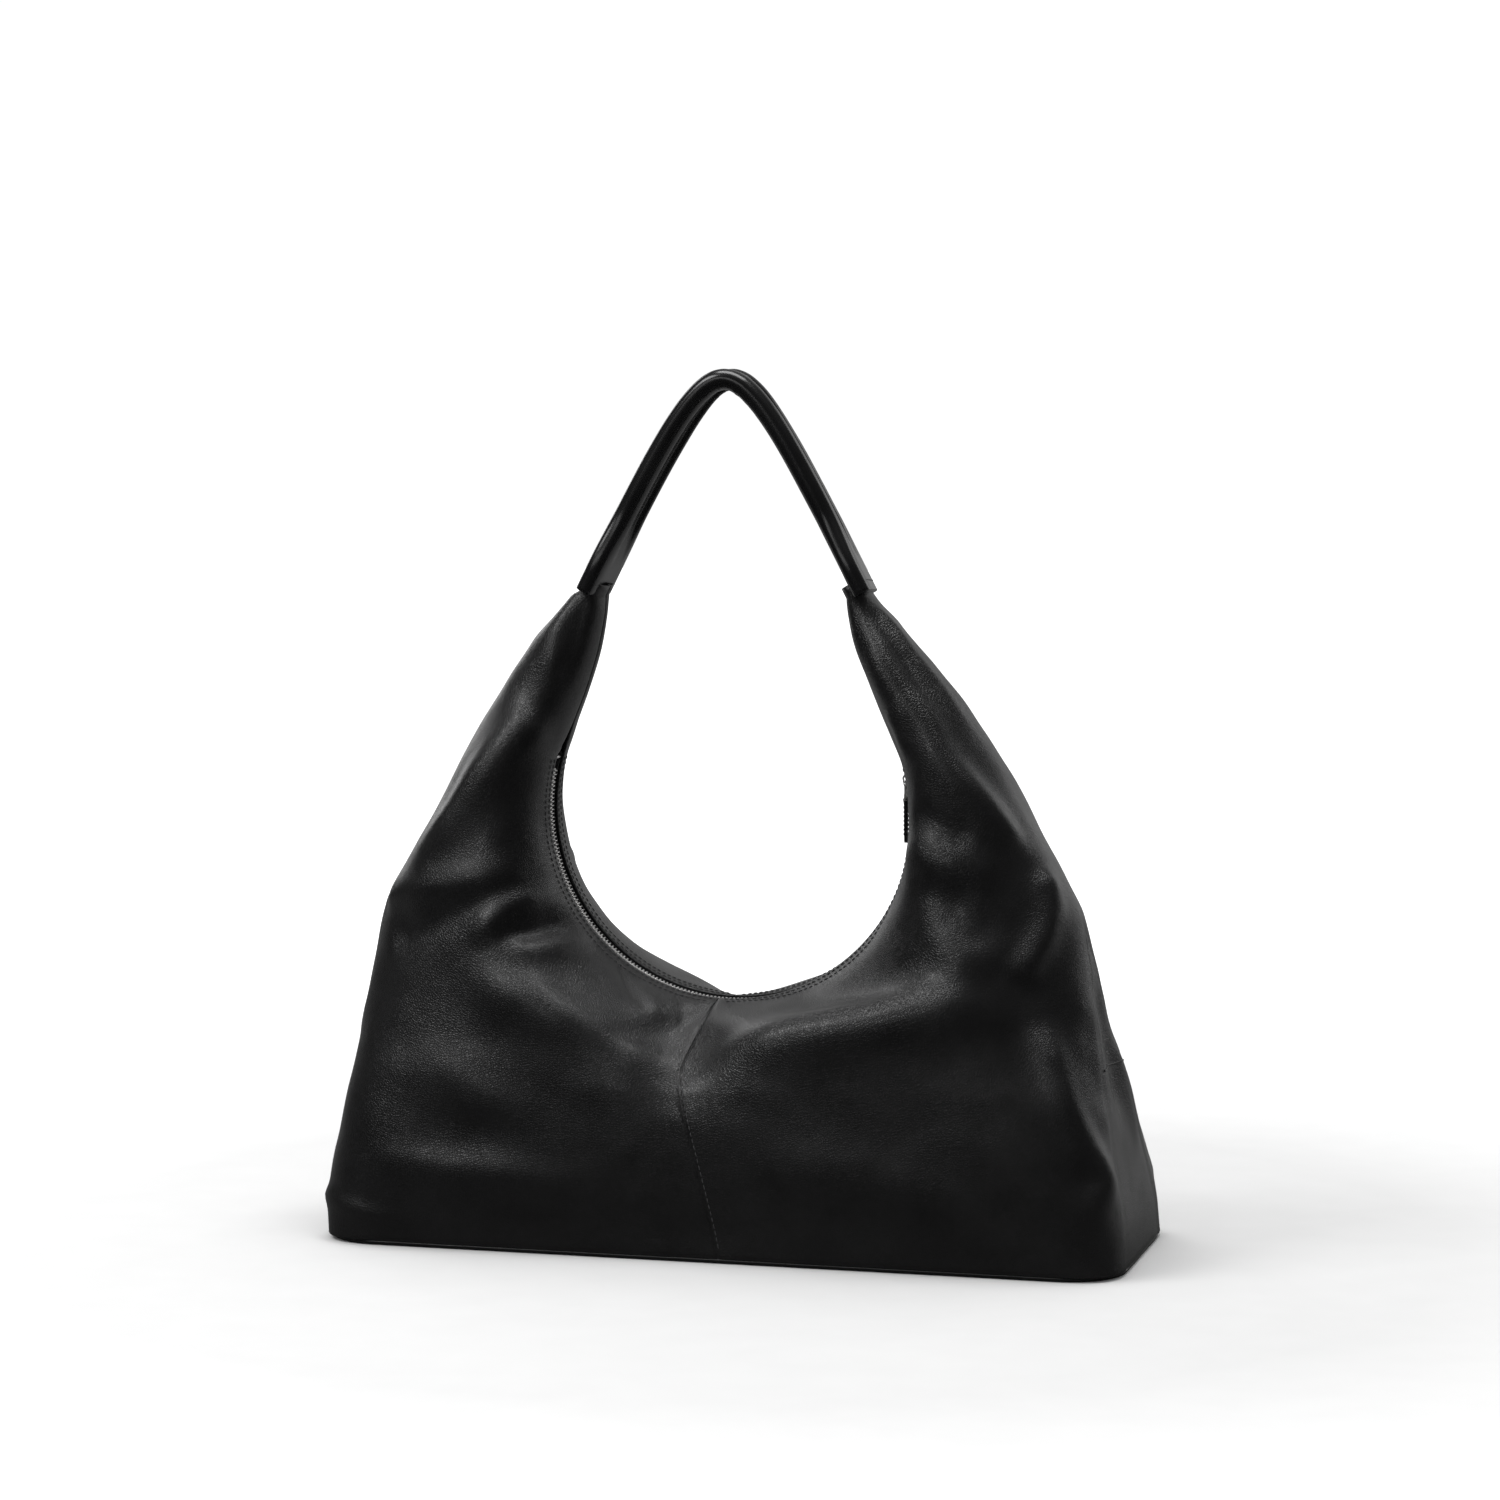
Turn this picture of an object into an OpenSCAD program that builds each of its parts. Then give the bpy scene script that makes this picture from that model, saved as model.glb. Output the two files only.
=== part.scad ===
// Slouchy leather hobo bag with a curved zip mouth and a padded shoulder strap.
// X runs along the base, Y from front to back, Z up. The origin is the middle of
// the base, on the surface that the bag stands on.

/* [Body] */
// Length of the base along X
base_length = 476; // [450:1:510]
// Depth of the base from front to back
base_depth = 170; // [150:1:185]
// Height at which the two horns meet the strap
horn_height = 384; // [375:1:400]
// Sideways lean of the top of the slouching body
top_lean = -10; // [-14:1:0]
// Height of the crease on the centre seam
crease_height = 108; // [100:1:112]
// Sideways drift of the front seam, at the base and at the crease
seam_drift = [7, -17]; // [-20:1:20]
// Thickness of the leather
leather = 1.8; // [1.4:0.1:2.2]
// Extra height of the shelf behind the mouth
back_lift = 12; // [0:1:16]

/* [Mouth and zip] */
// Radius of the arc that the zip chain follows
mouth_radius = 112; // [108:1:114]
// Height of the centre of that arc
mouth_height = 252; // [248:1:256]
// How far the zip runs above the centre of the arc, in degrees
zip_end_angle = 17; // [16:0.5:18]
// Distance between the teeth on one tape
tooth_pitch = 2.35; // [2.2:0.05:2.6]
// Width of one zip tape
tape_width = 10.5; // [9:0.5:12]
// Thickness of the zip tape
tape_thickness = 0.8; // [0.5:0.1:1]

/* [Slider and pull] */
// Where the slider rests, in degrees above the centre of the arc
slider_park = 11; // [10:0.5:11.5]
// Length of the slider along the chain
slider_length = 11; // [9:0.5:11]
// Distance from the pull's pin to the bar that holds the leather tab
puller_length = 11; // [10:0.5:13]
// Length of the leather tab below its bar
tab_length = 25; // [18:1:26]

/* [Strap] */
// Height of the top of the strap's centre line
strap_top = 505; // [495:1:520]
// Width of the strap from front to back
strap_width = 30; // [28:1:34]
// Thickness of the strap's two padded rolls
strap_thickness = 10; // [9:0.5:11]
// Width of the flared ends that are sewn to the horns
strap_end_width = 40; // [36:1:42]
// Diameter of the filler cord in each roll
core_diameter = 6; // [5:0.1:6]

/* [Inside] */
// Thickness of the stiffener board in the base
board_thickness = 2.5; // [1.5:0.5:3]
// Thickness of the lining
lining = 0.6; // [0.4:0.1:1]
// Width of the slip pocket
pocket_width = 170; // [120:5:200]
// Height of the slip pocket
pocket_height = 84; // [60:2:86]

/* [Hidden] */

leather_colour = [0.07, 0.07, 0.075];
inside_colour = [0.13, 0.13, 0.14];
lining_colour = [0.30, 0.29, 0.28];
metal_colour = [0.78, 0.78, 0.80];
tape_colour = [0.05, 0.05, 0.055];
left = -1;
right = 1;
front = -1;
back = 1;

half_length = base_length / 2;
half_depth = base_depth / 2;
seam_gap = 0.2;
base_corner = 34;
piping_thickness = 2.6;
piping_clearance = 0.4;
panel_foot = 3.2;
board_margin = 7;
lining_gap = 0.4;
lining_foot = leather + board_thickness + lining_gap + lining;

// Outlines against height, as [height / horn_height, share of the base's half size].
length_outline = [
    [0, 1], [0.065, 0.999], [0.17, 0.973], [0.28, 0.945], [0.39, 0.919], [0.47, 0.897],
    [0.52, 0.874], [0.65, 0.762], [0.755, 0.671], [0.85, 0.569], [0.945, 0.441], [1, 0.365]
];
depth_outline = [[0, 1], [0.15, 1.03], [0.28, 0.96], [0.42, 0.85], [0.55, 0.71],
    [0.68, 0.56], [0.8, 0.4], [0.92, 0.26], [1, 0.19]];
gusset_outline = [[0, 0.62], [0.14, 0.54], [0.26, 0.4], [0.36, 0.22], [0.44, 0.08], [0.5, 0]];
seam_outline = [[0, 1], [0.12, 0.97], [0.2, 0.9], [0.28, 0.76]];
corner_outline = [[0, 34], [0.28, 75], [0.5, 95], [0.75, 60], [1, 12]];

// The mouth: the lips stand just proud of the chain on both sides.
tape_inner_edge = 3.4;
lip_offset = 7;
// Share of the shelf's run left between the zip and the edge of the lining
lining_edge = 0.05;
// Spread of the tape away from the chain where it follows the leather, per mm squared
tape_flare = 0.035;
tape_clearance = 0.05;
lip_radius = mouth_radius - tape_thickness / 2 - tape_clearance - leather;
shelf_run = 62;
horn_tip_inner = 72;
// The horns are cut square to the strap: lower at the inner edge, higher at the outer
tip_fall = 6.1;
tip_rise = 0.7;

// Rows of the panels, from the foot up the seam, over the shelf and round the mouth.
seam_rows = 8;
shelf_rows = 3;
mouth_rows = 13;
horn_rows = 6;
all_rows = seam_rows + shelf_rows + mouth_rows + horn_rows;
lining_rows = seam_rows + shelf_rows + mouth_rows;
gusset_rows = seam_rows + shelf_rows + 4;
panel_columns = 16;
lining_columns = 8;
shelf_outer_rise = 6;
// Angle by which the front seam meets the mouth off its lowest point
seam_turn = 3;
mouth_outer_start = 140;
mouth_outer_end = 312;

// Teeth, slider and pull
tooth_height = 2.6;
tooth_width = 1.12;
tooth_reach = 0.9;
chain_end_angle = zip_end_angle - 5;
tooth_count = floor(mouth_radius * (180 + 2 * chain_end_angle) * PI / 180 / tooth_pitch);
stop_width = 1.6;
slider_gap = 0.35;
slider_plate = 1.35;
slider_half_width = 4.9;
slider_tail_half_width = 4.2;
slider_wall = 1.1;
slit_height = 1.6;
bail_height = 4;
bail_length = 8;
bail_width = 2.2;
bail_bar = 0.8;
pin_diameter = 1.4;
arm_width = 1.6;
arm_gap = 0.4;
pull_half_width = bail_width / 2 + arm_gap + arm_width;
loop_half_width = 3.8;
loop_bar = 1.5;
tab_width = 4;
tab_thickness = 2.4;
tab_gap = 0.3;
slider_half_angle = slider_length / 2 / mouth_radius * 180 / PI;
slider_top_radius = mouth_radius - tooth_height / 2 - slider_gap - slider_plate;
pin_radius = slider_top_radius - bail_height + bail_bar + pin_diameter / 2 + slider_gap;
pin_x = lean(mouth_height) + pin_radius * cos(slider_park);
pin_z = mouth_height + pin_radius * sin(slider_park);
tab_z = pin_z - puller_length;

// Strap: its centre line is one branch of a hyperbola, lean(horn_height) off centre.
strap_slope = 2.05;
strap_crown = 54;
foot_top_spread = 78.6;
foot_bottom_spread = 81.7;
strap_end_spread = 77.2;
fold_height = 410;
fold_radius = 17;
strap_rings = 36;
strap_sides = 20;
core_sides = 8;
core_offset = 0.52 * strap_width / 2;
core_end_spread = 60;
groove_clearance = 0.3;
layer_gap = 0.1;
foot_thickness = 12;
channel_depth = 0.3;
// Columns across one layer of the strap, as [share of its half width, share of groove depth]
layer_columns = [[0.985, 0], [0.74, 0], [0.627, 1], [0.413, 1], [0.3, 0], [0, 0]];

// Smooth curve through points [x, y]
function span(points, x, i = 0) =
    (i >= len(points) - 2 || x < points[i + 1][0]) ? i : span(points, x, i + 1);
function rise(points, i, j) = (points[j][1] - points[i][1]) / (points[j][0] - points[i][0]);
function slope(points, i) = rise(points, max(0, i - 1), min(len(points) - 1, i + 1));
function curve(points, x) =
    let (
        i = span(points, x),
        h = points[i + 1][0] - points[i][0],
        t = min(1, max(0, (x - points[i][0]) / h)),
        a = points[i][1],
        b = points[i + 1][1],
        ma = slope(points, i) * h,
        mb = slope(points, i + 1) * h
    )
    a * (2 * pow(t, 3) - 3 * t * t + 1) + ma * (pow(t, 3) - 2 * t * t + t)
    + b * (3 * t * t - 2 * pow(t, 3)) + mb * (pow(t, 3) - t * t);
function mix(a, b, t) = a + (b - a) * t;

// Size of the body at a height
function lean(z) = top_lean * pow(max(0, z) / horn_height, 0.6);
function half_length_at(z) = half_length * curve(length_outline, z / horn_height);
function depth_at(z) = half_depth * curve(depth_outline, z / horn_height);
function gusset_at(z) = max(seam_gap, half_depth * curve(gusset_outline, z / horn_height));
function seam_depth_at(z) = half_depth * curve(seam_outline, z / horn_height);

// Start of a row at the inner edge of a panel: [x, depth, height, height at the outer edge].
// A skin is [inset from the outer surface, depth of the lip, height of its foot, share of
// the shelf's run left off at the mouth]. The drift is 1 or -1 on the two sides of the
// front seam, and 0 at the back.
function seam_row(t, skin, drift) =
    let (z = mix(skin[2], crease_height - skin[0], t))
    [
        drift * mix(seam_drift[0], seam_drift[1], pow(t, 1.3)), seam_depth_at(z) - skin[0], z,
        mix(skin[2], crease_height + shelf_outer_rise, t)
    ];
function shelf_row(t, skin, drift) =
    let (
        start = seam_depth_at(crease_height) - skin[0],
        climb = pow(t * (start - skin[1]) / (start - lip_offset), 0.8),
        radius = lip_radius + skin[0]
    )
    [
        drift * mix(seam_drift[1], -radius * sin(seam_turn), t), mix(start, skin[1], t),
        mix(crease_height - skin[0], mouth_height - radius * cos(drift * seam_turn), climb),
        mix(crease_height + shelf_outer_rise, mouth_outer_start, t)
    ];
function mouth_row(t, skin, drift) =
    let (
        angle = mix(-90 - drift * seam_turn, zip_end_angle, t),
        radius = lip_radius + skin[0]
    )
    [
        radius * cos(angle), skin[1], mouth_height + radius * sin(angle),
        mix(mouth_outer_start, mouth_outer_end, t)
    ];
function horn_row(t, skin) =
    let (end = mouth_row(1, skin, 0))
    [
        mix(horn_tip_inner + skin[0], end[0], pow(1 - t, 1.4)), seam_gap,
        mix(end[2], horn_height - tip_fall, t),
        mix(mouth_outer_end, horn_height + tip_rise, t)
    ];
function row(i, skin, drift) =
    let (
        shelf = i - seam_rows,
        mouth = shelf - shelf_rows,
        horn = mouth - mouth_rows
    )
    shelf <= 0 ? seam_row(i / seam_rows, skin, drift)
    : mouth <= 0 ? shelf_row(shelf / shelf_rows, skin, drift)
    : horn <= 0 ? mouth_row(mouth / mouth_rows, skin, drift)
    : horn_row(horn / horn_rows, skin);

// How far row i belongs to the mouth, whose edge is round and doesn't lean with the body
function mouth_share(i) =
    i > lining_rows ? 0 : min(1, max(0, i - seam_rows) / shelf_rows);

// Point on a panel: share runs from the inner edge (0) to the outer edge (1) of row i.
function panel_point(side, face, skin, i, share) =
    let (
        start = row(i, skin, face == front ? side : 0),
        reach = half_length_at(start[3]) - skin[0] - start[0],
        run_in = min(shelf_run, 0.48 * reach),
        s = mix(skin[3] * mouth_share(i) * run_in / reach, 1, share),
        z = mix(start[2], start[3], s),
        run_out = min(curve(corner_outline, start[3] / horn_height), 0.5 * reach),
        a = min(1, s * reach / run_in),
        b = min(1, max(0, 1 - (1 - s) * reach / run_out)),
        ramp = sqrt(1 - pow(1 - a, 2)),
        roundness = mix(2.6, 2, min(1, i / seam_rows)),
        fall = pow(1 - pow(b, roundness), 1 / roundness),
        full = mix(start[1], depth_at(z) - skin[0], ramp),
        gusset = gusset_at(start[3]),
        depth = gusset + (full - gusset) * fall,
        above = max(0, i - seam_rows) / (shelf_rows + mouth_rows),
        lift = face == back ? back_lift * sin(180 * min(1, above)) * a * (1 - s) : 0,
        middle = mix(lean(z), lean(mouth_height), mouth_share(i) * (1 - a))
    )
    [middle + side * (start[0] + reach * s), face * depth, z + lift];

// Closed solid between two grids of points with the same number of rows and columns
module shell(outer, inner, flip) {
    rows = len(outer);
    columns = len(outer[0]);
    function index(k, i, j) = (k * rows + i) * columns + j;
    function quad(a, b, c, d) = flip ? [[a, c, b], [a, d, c]] : [[a, b, c], [a, c, d]];
    sheets = [
        for (i = [0:rows - 2], j = [0:columns - 2])
        for (f = concat(
            quad(index(0, i, j), index(0, i, j + 1), index(0, i + 1, j + 1), index(0, i + 1, j)),
            quad(index(1, i, j), index(1, i + 1, j), index(1, i + 1, j + 1), index(1, i, j + 1))
        )) f
    ];
    ends = [
        for (j = [0:columns - 2])
        for (f = concat(
            quad(index(0, 0, j), index(1, 0, j), index(1, 0, j + 1), index(0, 0, j + 1)),
            quad(index(0, rows - 1, j), index(0, rows - 1, j + 1),
                index(1, rows - 1, j + 1), index(1, rows - 1, j))
        )) f
    ];
    edges = [
        for (i = [0:rows - 2])
        for (f = concat(
            quad(index(0, i, 0), index(0, i + 1, 0), index(1, i + 1, 0), index(1, i, 0)),
            quad(index(0, i, columns - 1), index(1, i, columns - 1),
                index(1, i + 1, columns - 1), index(0, i + 1, columns - 1))
        )) f
    ];
    polyhedron(
        points = [for (grid = [outer, inner], line = grid, p = line) p],
        faces = concat(sheets, ends, edges)
    );
}

// One half panel, between two depths below the outer surface
module half_panel(side, face, outer_skin, inner_skin, last_row, columns) {
    function grid(skin) = [
        for (i = [0:last_row])
        [for (j = [0:columns]) panel_point(side, face, skin, i, (1 - cos(180 * j / columns)) / 2)]
    ];
    shell(grid(outer_skin), grid(inner_skin), side * face < 0);
}

module leather_panel(side, face) {
    half_panel(
        side, face, [0, lip_offset, panel_foot, 0], [leather, lip_offset, panel_foot, 0],
        all_rows, panel_columns
    );
}

// Tapering strip on the side of the body, from its foot to where the panels meet
module side_strip(side, inset, thickness, foot, columns = 4) {
    function strip(depth) = [
        for (i = [0:gusset_rows])
        let (z = row(i, [0, 0, foot], 0)[3], width = gusset_at(z) - seam_gap / 2)
        [
            for (j = [0:columns])
            [lean(z) + side * (half_length_at(z) - depth), mix(-width, width, j / columns), z]
        ]
    ];
    shell(strip(inset), strip(inset + thickness), side > 0);
}

// Rounded rectangle, centred
module rounded(length, width, radius) {
    square([length - 2 * radius, width], center = true);
    square([length, width - 2 * radius], center = true);
    for (x = [-1, 1], y = [-1, 1])
        translate([x * (length / 2 - radius), y * (width / 2 - radius)])
            circle(r = radius, $fn = 48);
}

module base_plate(margin, bottom, thickness) {
    translate([0, 0, bottom])
        linear_extrude(thickness)
            rounded(base_length - 2 * margin, base_depth - 2 * margin, base_corner - margin);
}

// Children are placed at the centre of the mouth's arc, with their Z axis along -Y
module at_mouth() {
    translate([lean(mouth_height), 0, mouth_height]) rotate([90, 0, 0]) children();
}

// Band round the mouth's axis between two radii, two depths and two angles
module arc_band(inner, outer, depth_from, depth_to, angle_from, angle_to) {
    rotate([0, 0, angle_from])
        rotate_extrude(angle = angle_to - angle_from, $fn = 120)
            translate([inner, depth_from])
                square([outer - inner, depth_to - depth_from]);
}

module front_panel_left() {
    color(leather_colour) leather_panel(left, front);
}

module front_panel_right() {
    color(leather_colour) leather_panel(right, front);
}

module back_panel_left() {
    color(leather_colour) leather_panel(left, back);
}

module back_panel_right() {
    color(leather_colour) leather_panel(right, back);
}

module side_gusset_left() {
    color(leather_colour) side_strip(left, 0, leather, panel_foot);
}

module side_gusset_right() {
    color(leather_colour) side_strip(right, 0, leather, panel_foot);
}

module base_panel() {
    color(leather_colour) base_plate(piping_thickness + piping_clearance, 0, leather);
}

module base_piping() {
    color(leather_colour)
        translate([0, 0, piping_clearance])
            linear_extrude(piping_thickness)
                difference() {
                    rounded(base_length, base_depth, base_corner);
                    rounded(
                        base_length - 2 * piping_thickness, base_depth - 2 * piping_thickness,
                        base_corner - piping_thickness
                    );
                }
}

module base_board() {
    color(inside_colour) base_plate(board_margin, leather, board_thickness);
}

module lining_half(side, face) {
    inset = leather + lining_gap;
    half_panel(
        side, face, [inset, lip_offset, lining_foot, lining_edge],
        [inset + lining, lip_offset, lining_foot, lining_edge], lining_rows, lining_columns
    );
}

module lining_front() {
    color(lining_colour) {
        lining_half(left, front);
        lining_half(right, front);
    }
}

module lining_back() {
    color(lining_colour) {
        lining_half(left, back);
        lining_half(right, back);
    }
}

module lining_side_left() {
    color(lining_colour) side_strip(left, leather + lining_gap, lining, lining_foot);
}

module lining_side_right() {
    color(lining_colour) side_strip(right, leather + lining_gap, lining, lining_foot);
}

module lining_base() {
    color(lining_colour) base_plate(board_margin, lining_foot - lining - lining_gap / 2, lining);
}

// Flat pouch on the back lining, open along its top
module inner_pocket() {
    layer = 0.8;
    slot = 0.8;
    hem = 6;
    pocket_tilt = 10;
    pocket_foot = 20;
    pocket_y = half_depth - 12;
    color(lining_colour)
        translate([lean(pocket_foot), pocket_y, pocket_foot])
            rotate([pocket_tilt, 0, 0])
                difference() {
                    translate([-pocket_width / 2, -2 * layer - slot, 0])
                        cube([pocket_width, 2 * layer + slot, pocket_height]);
                    translate([-pocket_width / 2 + hem, -layer - slot, hem])
                        cube([pocket_width - 2 * hem, slot, pocket_height]);
                }
}

// Tape of one side: level beside the chain, then spreading with the leather over it
module zip_tape(face) {
    depths = [
        tape_inner_edge, lip_offset,
        for (k = [1:3]) mix(lip_offset, tape_inner_edge + tape_width, k / 3)
    ];
    function middle(depth) = mouth_radius + tape_flare * pow(max(0, depth - lip_offset), 2);
    near = [for (d = depths) [middle(d) - tape_thickness / 2, -face * d]];
    far = [for (d = depths) [middle(d) + tape_thickness / 2, -face * d]];
    outline = concat(near, [for (k = [len(far) - 1:-1:0]) far[k]]);
    at_mouth()
        rotate([0, 0, -180 - zip_end_angle])
            rotate_extrude(angle = 180 + 2 * zip_end_angle, $fn = 180)
                polygon(outline);
}

module zip_tape_front() {
    color(tape_colour) zip_tape(front);
}

module zip_tape_back() {
    color(tape_colour) zip_tape(back);
}

// Row of teeth on one tape; the two rows are half a pitch apart
module zip_teeth(face) {
    step = (180 + 2 * chain_end_angle) / tooth_count;
    offset_angle = face == front ? 0.25 : 0.75;
    near = face == front ? -tooth_reach : -tape_inner_edge;
    at_mouth()
        for (i = [0:tooth_count - 1])
            rotate([0, 0, -180 - chain_end_angle + (i + offset_angle) * step])
                translate([mouth_radius - tooth_height / 2, -tooth_width / 2, near])
                    cube([tooth_height, tooth_width, tape_inner_edge + tooth_reach]);
}

module zip_teeth_front() {
    color(metal_colour) zip_teeth(front);
}

module zip_teeth_back() {
    color(metal_colour) zip_teeth(back);
}

module stop_block(angle, depth_from, depth_to) {
    rotate([0, 0, angle])
        translate([mouth_radius - tooth_height / 2, -stop_width / 2, depth_from])
            cube([tooth_height, stop_width, depth_to - depth_from]);
}

module zip_top_stops() {
    stop_gap = 0.3;
    color(metal_colour)
        at_mouth() {
            stop_block(zip_end_angle - 1.5, stop_gap, tape_inner_edge);
            stop_block(zip_end_angle - 1.5, -tape_inner_edge, -stop_gap);
        }
}

module zip_bottom_stop() {
    color(metal_colour)
        at_mouth() stop_block(-180 - zip_end_angle + 1.5, -tape_inner_edge, tape_inner_edge);
}

// One wing of the slider: a curved plate with two low walls beside the chain
module slider_wing(plate_inner, plate_outer, wall_inner, wall_outer) {
    intersection() {
        union() {
            arc_band(
                plate_inner, plate_outer, -slider_half_width, slider_half_width,
                -slider_half_angle, slider_half_angle
            );
            for (y = [-slider_half_width, slider_half_width - slider_wall])
                arc_band(
                    wall_inner, wall_outer, y, y + slider_wall,
                    -slider_half_angle, slider_half_angle
                );
        }
        translate([mouth_radius, 0, 0])
            rotate([0, 90, 0])
                linear_extrude(4 * slider_half_width, center = true)
                    polygon([
                        [-slider_half_width, -slider_length / 6],
                        [-slider_tail_half_width, -slider_length],
                        [slider_tail_half_width, -slider_length],
                        [slider_half_width, -slider_length / 6],
                        [slider_half_width, slider_length / 3],
                        [slider_tail_half_width - 1, slider_length],
                        [-slider_tail_half_width + 1, slider_length],
                        [-slider_half_width, slider_length / 3]
                    ]);
    }
}

// The two wings and the bail that carries the pull. The post between the wings is left
// out, because the closed chain runs through its place.
module slider_body() {
    chain_inner = mouth_radius - tooth_height / 2 - slider_gap;
    chain_outer = mouth_radius + tooth_height / 2 + slider_gap;
    color(metal_colour)
        at_mouth()
            rotate([0, 0, slider_park]) {
                slider_wing(
                    chain_inner - slider_plate, chain_inner,
                    chain_inner - slider_plate / 2, mouth_radius - slit_height / 2
                );
                slider_wing(
                    chain_outer, chain_outer + slider_plate,
                    mouth_radius + slit_height / 2, chain_outer + slider_plate / 2
                );
                translate([slider_top_radius - bail_height, -bail_length / 2, -bail_width / 2])
                    difference() {
                        cube([bail_height + slider_plate / 2, bail_length, bail_width]);
                        translate([bail_bar, bail_bar, -bail_width])
                            cube([
                                bail_height - bail_bar - slider_plate / 4,
                                bail_length - 2 * bail_bar, 3 * bail_width
                            ]);
                    }
            }
}

// Round bar along Y, centred on Y = 0
module cross_bar(diameter, length) {
    rotate([90, 0, 0]) cylinder(d = diameter, h = length, center = true, $fn = 32);
}

// Metal pull: a pin through the bail, two arms, and a loop for the leather tab
module puller() {
    shoulder = puller_length * 0.5;
    loop_top = -shoulder - arm_width;
    color(metal_colour)
        translate([pin_x, 0, pin_z]) {
            cross_bar(pin_diameter, 2 * pull_half_width);
            for (y = [-pull_half_width, pull_half_width - arm_width])
                translate([-pin_diameter / 2, y, -shoulder])
                    cube([pin_diameter, arm_width, shoulder]);
            translate([-pin_diameter / 2, -loop_half_width, loop_top])
                cube([pin_diameter, 2 * loop_half_width, arm_width]);
            for (y = [-loop_half_width, loop_half_width - loop_bar])
                translate([-pin_diameter / 2, y, -puller_length])
                    cube([pin_diameter, loop_bar, puller_length + loop_top + arm_width / 2]);
            translate([0, 0, -puller_length]) cross_bar(loop_bar, 2 * loop_half_width);
        }
}

// Leather tab that hangs from the pull's loop
module leather_pull() {
    eye = loop_bar + 2 * tab_gap;
    color(leather_colour)
        translate([pin_x, 0, tab_z])
            difference() {
                union() {
                    cross_bar(eye + 1.8, tab_width);
                    translate([-tab_thickness / 2, -tab_width / 2, -tab_length + tab_width / 2])
                        cube([tab_thickness, tab_width, tab_length - tab_width / 2]);
                    translate([0, 0, -tab_length + tab_width / 2])
                        rotate([0, 90, 0])
                            cylinder(d = tab_width, h = tab_thickness, center = true, $fn = 48);
                }
                cross_bar(eye, 2 * tab_width);
            }
}

// Point of the strap's centre line at a sideways distance from its middle
function strap_z(x) =
    strap_top - sqrt(pow(strap_slope * x, 2) + pow(strap_crown, 2)) + strap_crown;
function strap_dir(x) =
    let (d = -strap_slope * strap_slope * x / sqrt(pow(strap_slope * x, 2) + pow(strap_crown, 2)))
    [1, d] / sqrt(1 + d * d);

// Half width of the strap: flared near the ends, and rounded about the fold below it
function strap_half_width(x) =
    let (below = max(0, fold_height - strap_z(x)), flare = max(0, abs(x) - 60) / 10)
    below > 0 ? sqrt(max(1, pow(fold_radius, 2) - pow(below, 2)))
    : min(fold_radius, strap_width / 2 + pow(min(1, flare), 2) * 2);

// Half thickness of the padded section: two lobes with a shallow channel between them
function lobe(share) =
    pow(1 - pow(min(1, abs(share)), 2.6), 0.45)
    * (1 - channel_depth * pow(1 - min(1, share * share), 4));
function round_outline(radius, a) = [radius * cos(a), radius * sin(a)];
function on_strap(x, p) =
    let (t = strap_dir(x))
    [lean(horn_height) + x - t[1] * p[1], p[0], strap_z(x) + t[0] * p[1]];

// Solid tube through rings of points
module tube(rings) {
    sides = len(rings[0]);
    last = len(rings) - 1;
    polyhedron(
        points = [for (ring = rings, p = ring) p],
        faces = concat(
            [[for (k = [0:sides - 1]) k]],
            [[for (k = [sides - 1:-1:0]) last * sides + k]],
            [
                for (i = [0:last - 1], k = [0:sides - 1])
                for (f = [
                    [i * sides + k, (i + 1) * sides + k, (i + 1) * sides + (k + 1) % sides],
                    [i * sides + k, (i + 1) * sides + (k + 1) % sides, i * sides + (k + 1) % sides]
                ]) f
            ]
        )
    );
}

// One leather layer of the strap, above (1) or below (-1) its mid-plane, with a groove
// for each filler cord
module strap_layer(layer) {
    halves = concat(
        layer_columns,
        [for (k = [len(layer_columns) - 2:-1:0]) [-layer_columns[k][0], layer_columns[k][1]]]
    );
    function sheet(outer) = [
        for (i = [0:strap_rings])
        let (
            x = mix(-strap_end_spread, strap_end_spread, i / strap_rings),
            width = strap_half_width(x),
            groove = abs(x) > core_end_spread + 2 ? 0 : core_diameter / 2 + groove_clearance
        )
        [
            for (column = halves)
            on_strap(x, [
                width * column[0],
                layer * (outer
                    ? strap_thickness / 2 * lobe(column[0])
                    : max(layer_gap / 2, groove * column[1]))
            ])
        ]
    ];
    shell(sheet(true), sheet(false), layer < 0);
}

module core_tube(offset_y, radius) {
    tube([
        for (i = [0:strap_rings])
        let (x = mix(-core_end_spread, core_end_spread, i / strap_rings))
        [
            for (k = [0:core_sides - 1])
            on_strap(x, [offset_y, 0] + round_outline(radius, -360 * k / core_sides))
        ]
    ]);
}

// Stitched end of the strap on the tip of a horn
module strap_foot(side) {
    tube([
        for (i = [0:1])
        let (x = side * (side > 0
            ? mix(foot_top_spread, foot_bottom_spread, i)
            : mix(foot_bottom_spread, foot_top_spread, i)))
        [
            for (k = [0:strap_sides - 1])
            let (a = -360 * k / strap_sides, c = cos(a), s = sin(a))
            on_strap(x, [
                sign(c) * pow(abs(c), 0.5) * strap_end_width / 2,
                sign(s) * pow(abs(s), 0.5) * foot_thickness / 2
            ])
        ]
    ]);
}

module strap_foot_left() {
    color(leather_colour) strap_foot(left);
}

module strap_foot_right() {
    color(leather_colour) strap_foot(right);
}

module strap_cover() {
    color(leather_colour) strap_layer(1);
}

module strap_backing() {
    color(leather_colour) strap_layer(-1);
}

module strap_core_front() {
    color(inside_colour) core_tube(-core_offset, core_diameter / 2);
}

module strap_core_back() {
    color(inside_colour) core_tube(core_offset, core_diameter / 2);
}

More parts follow.
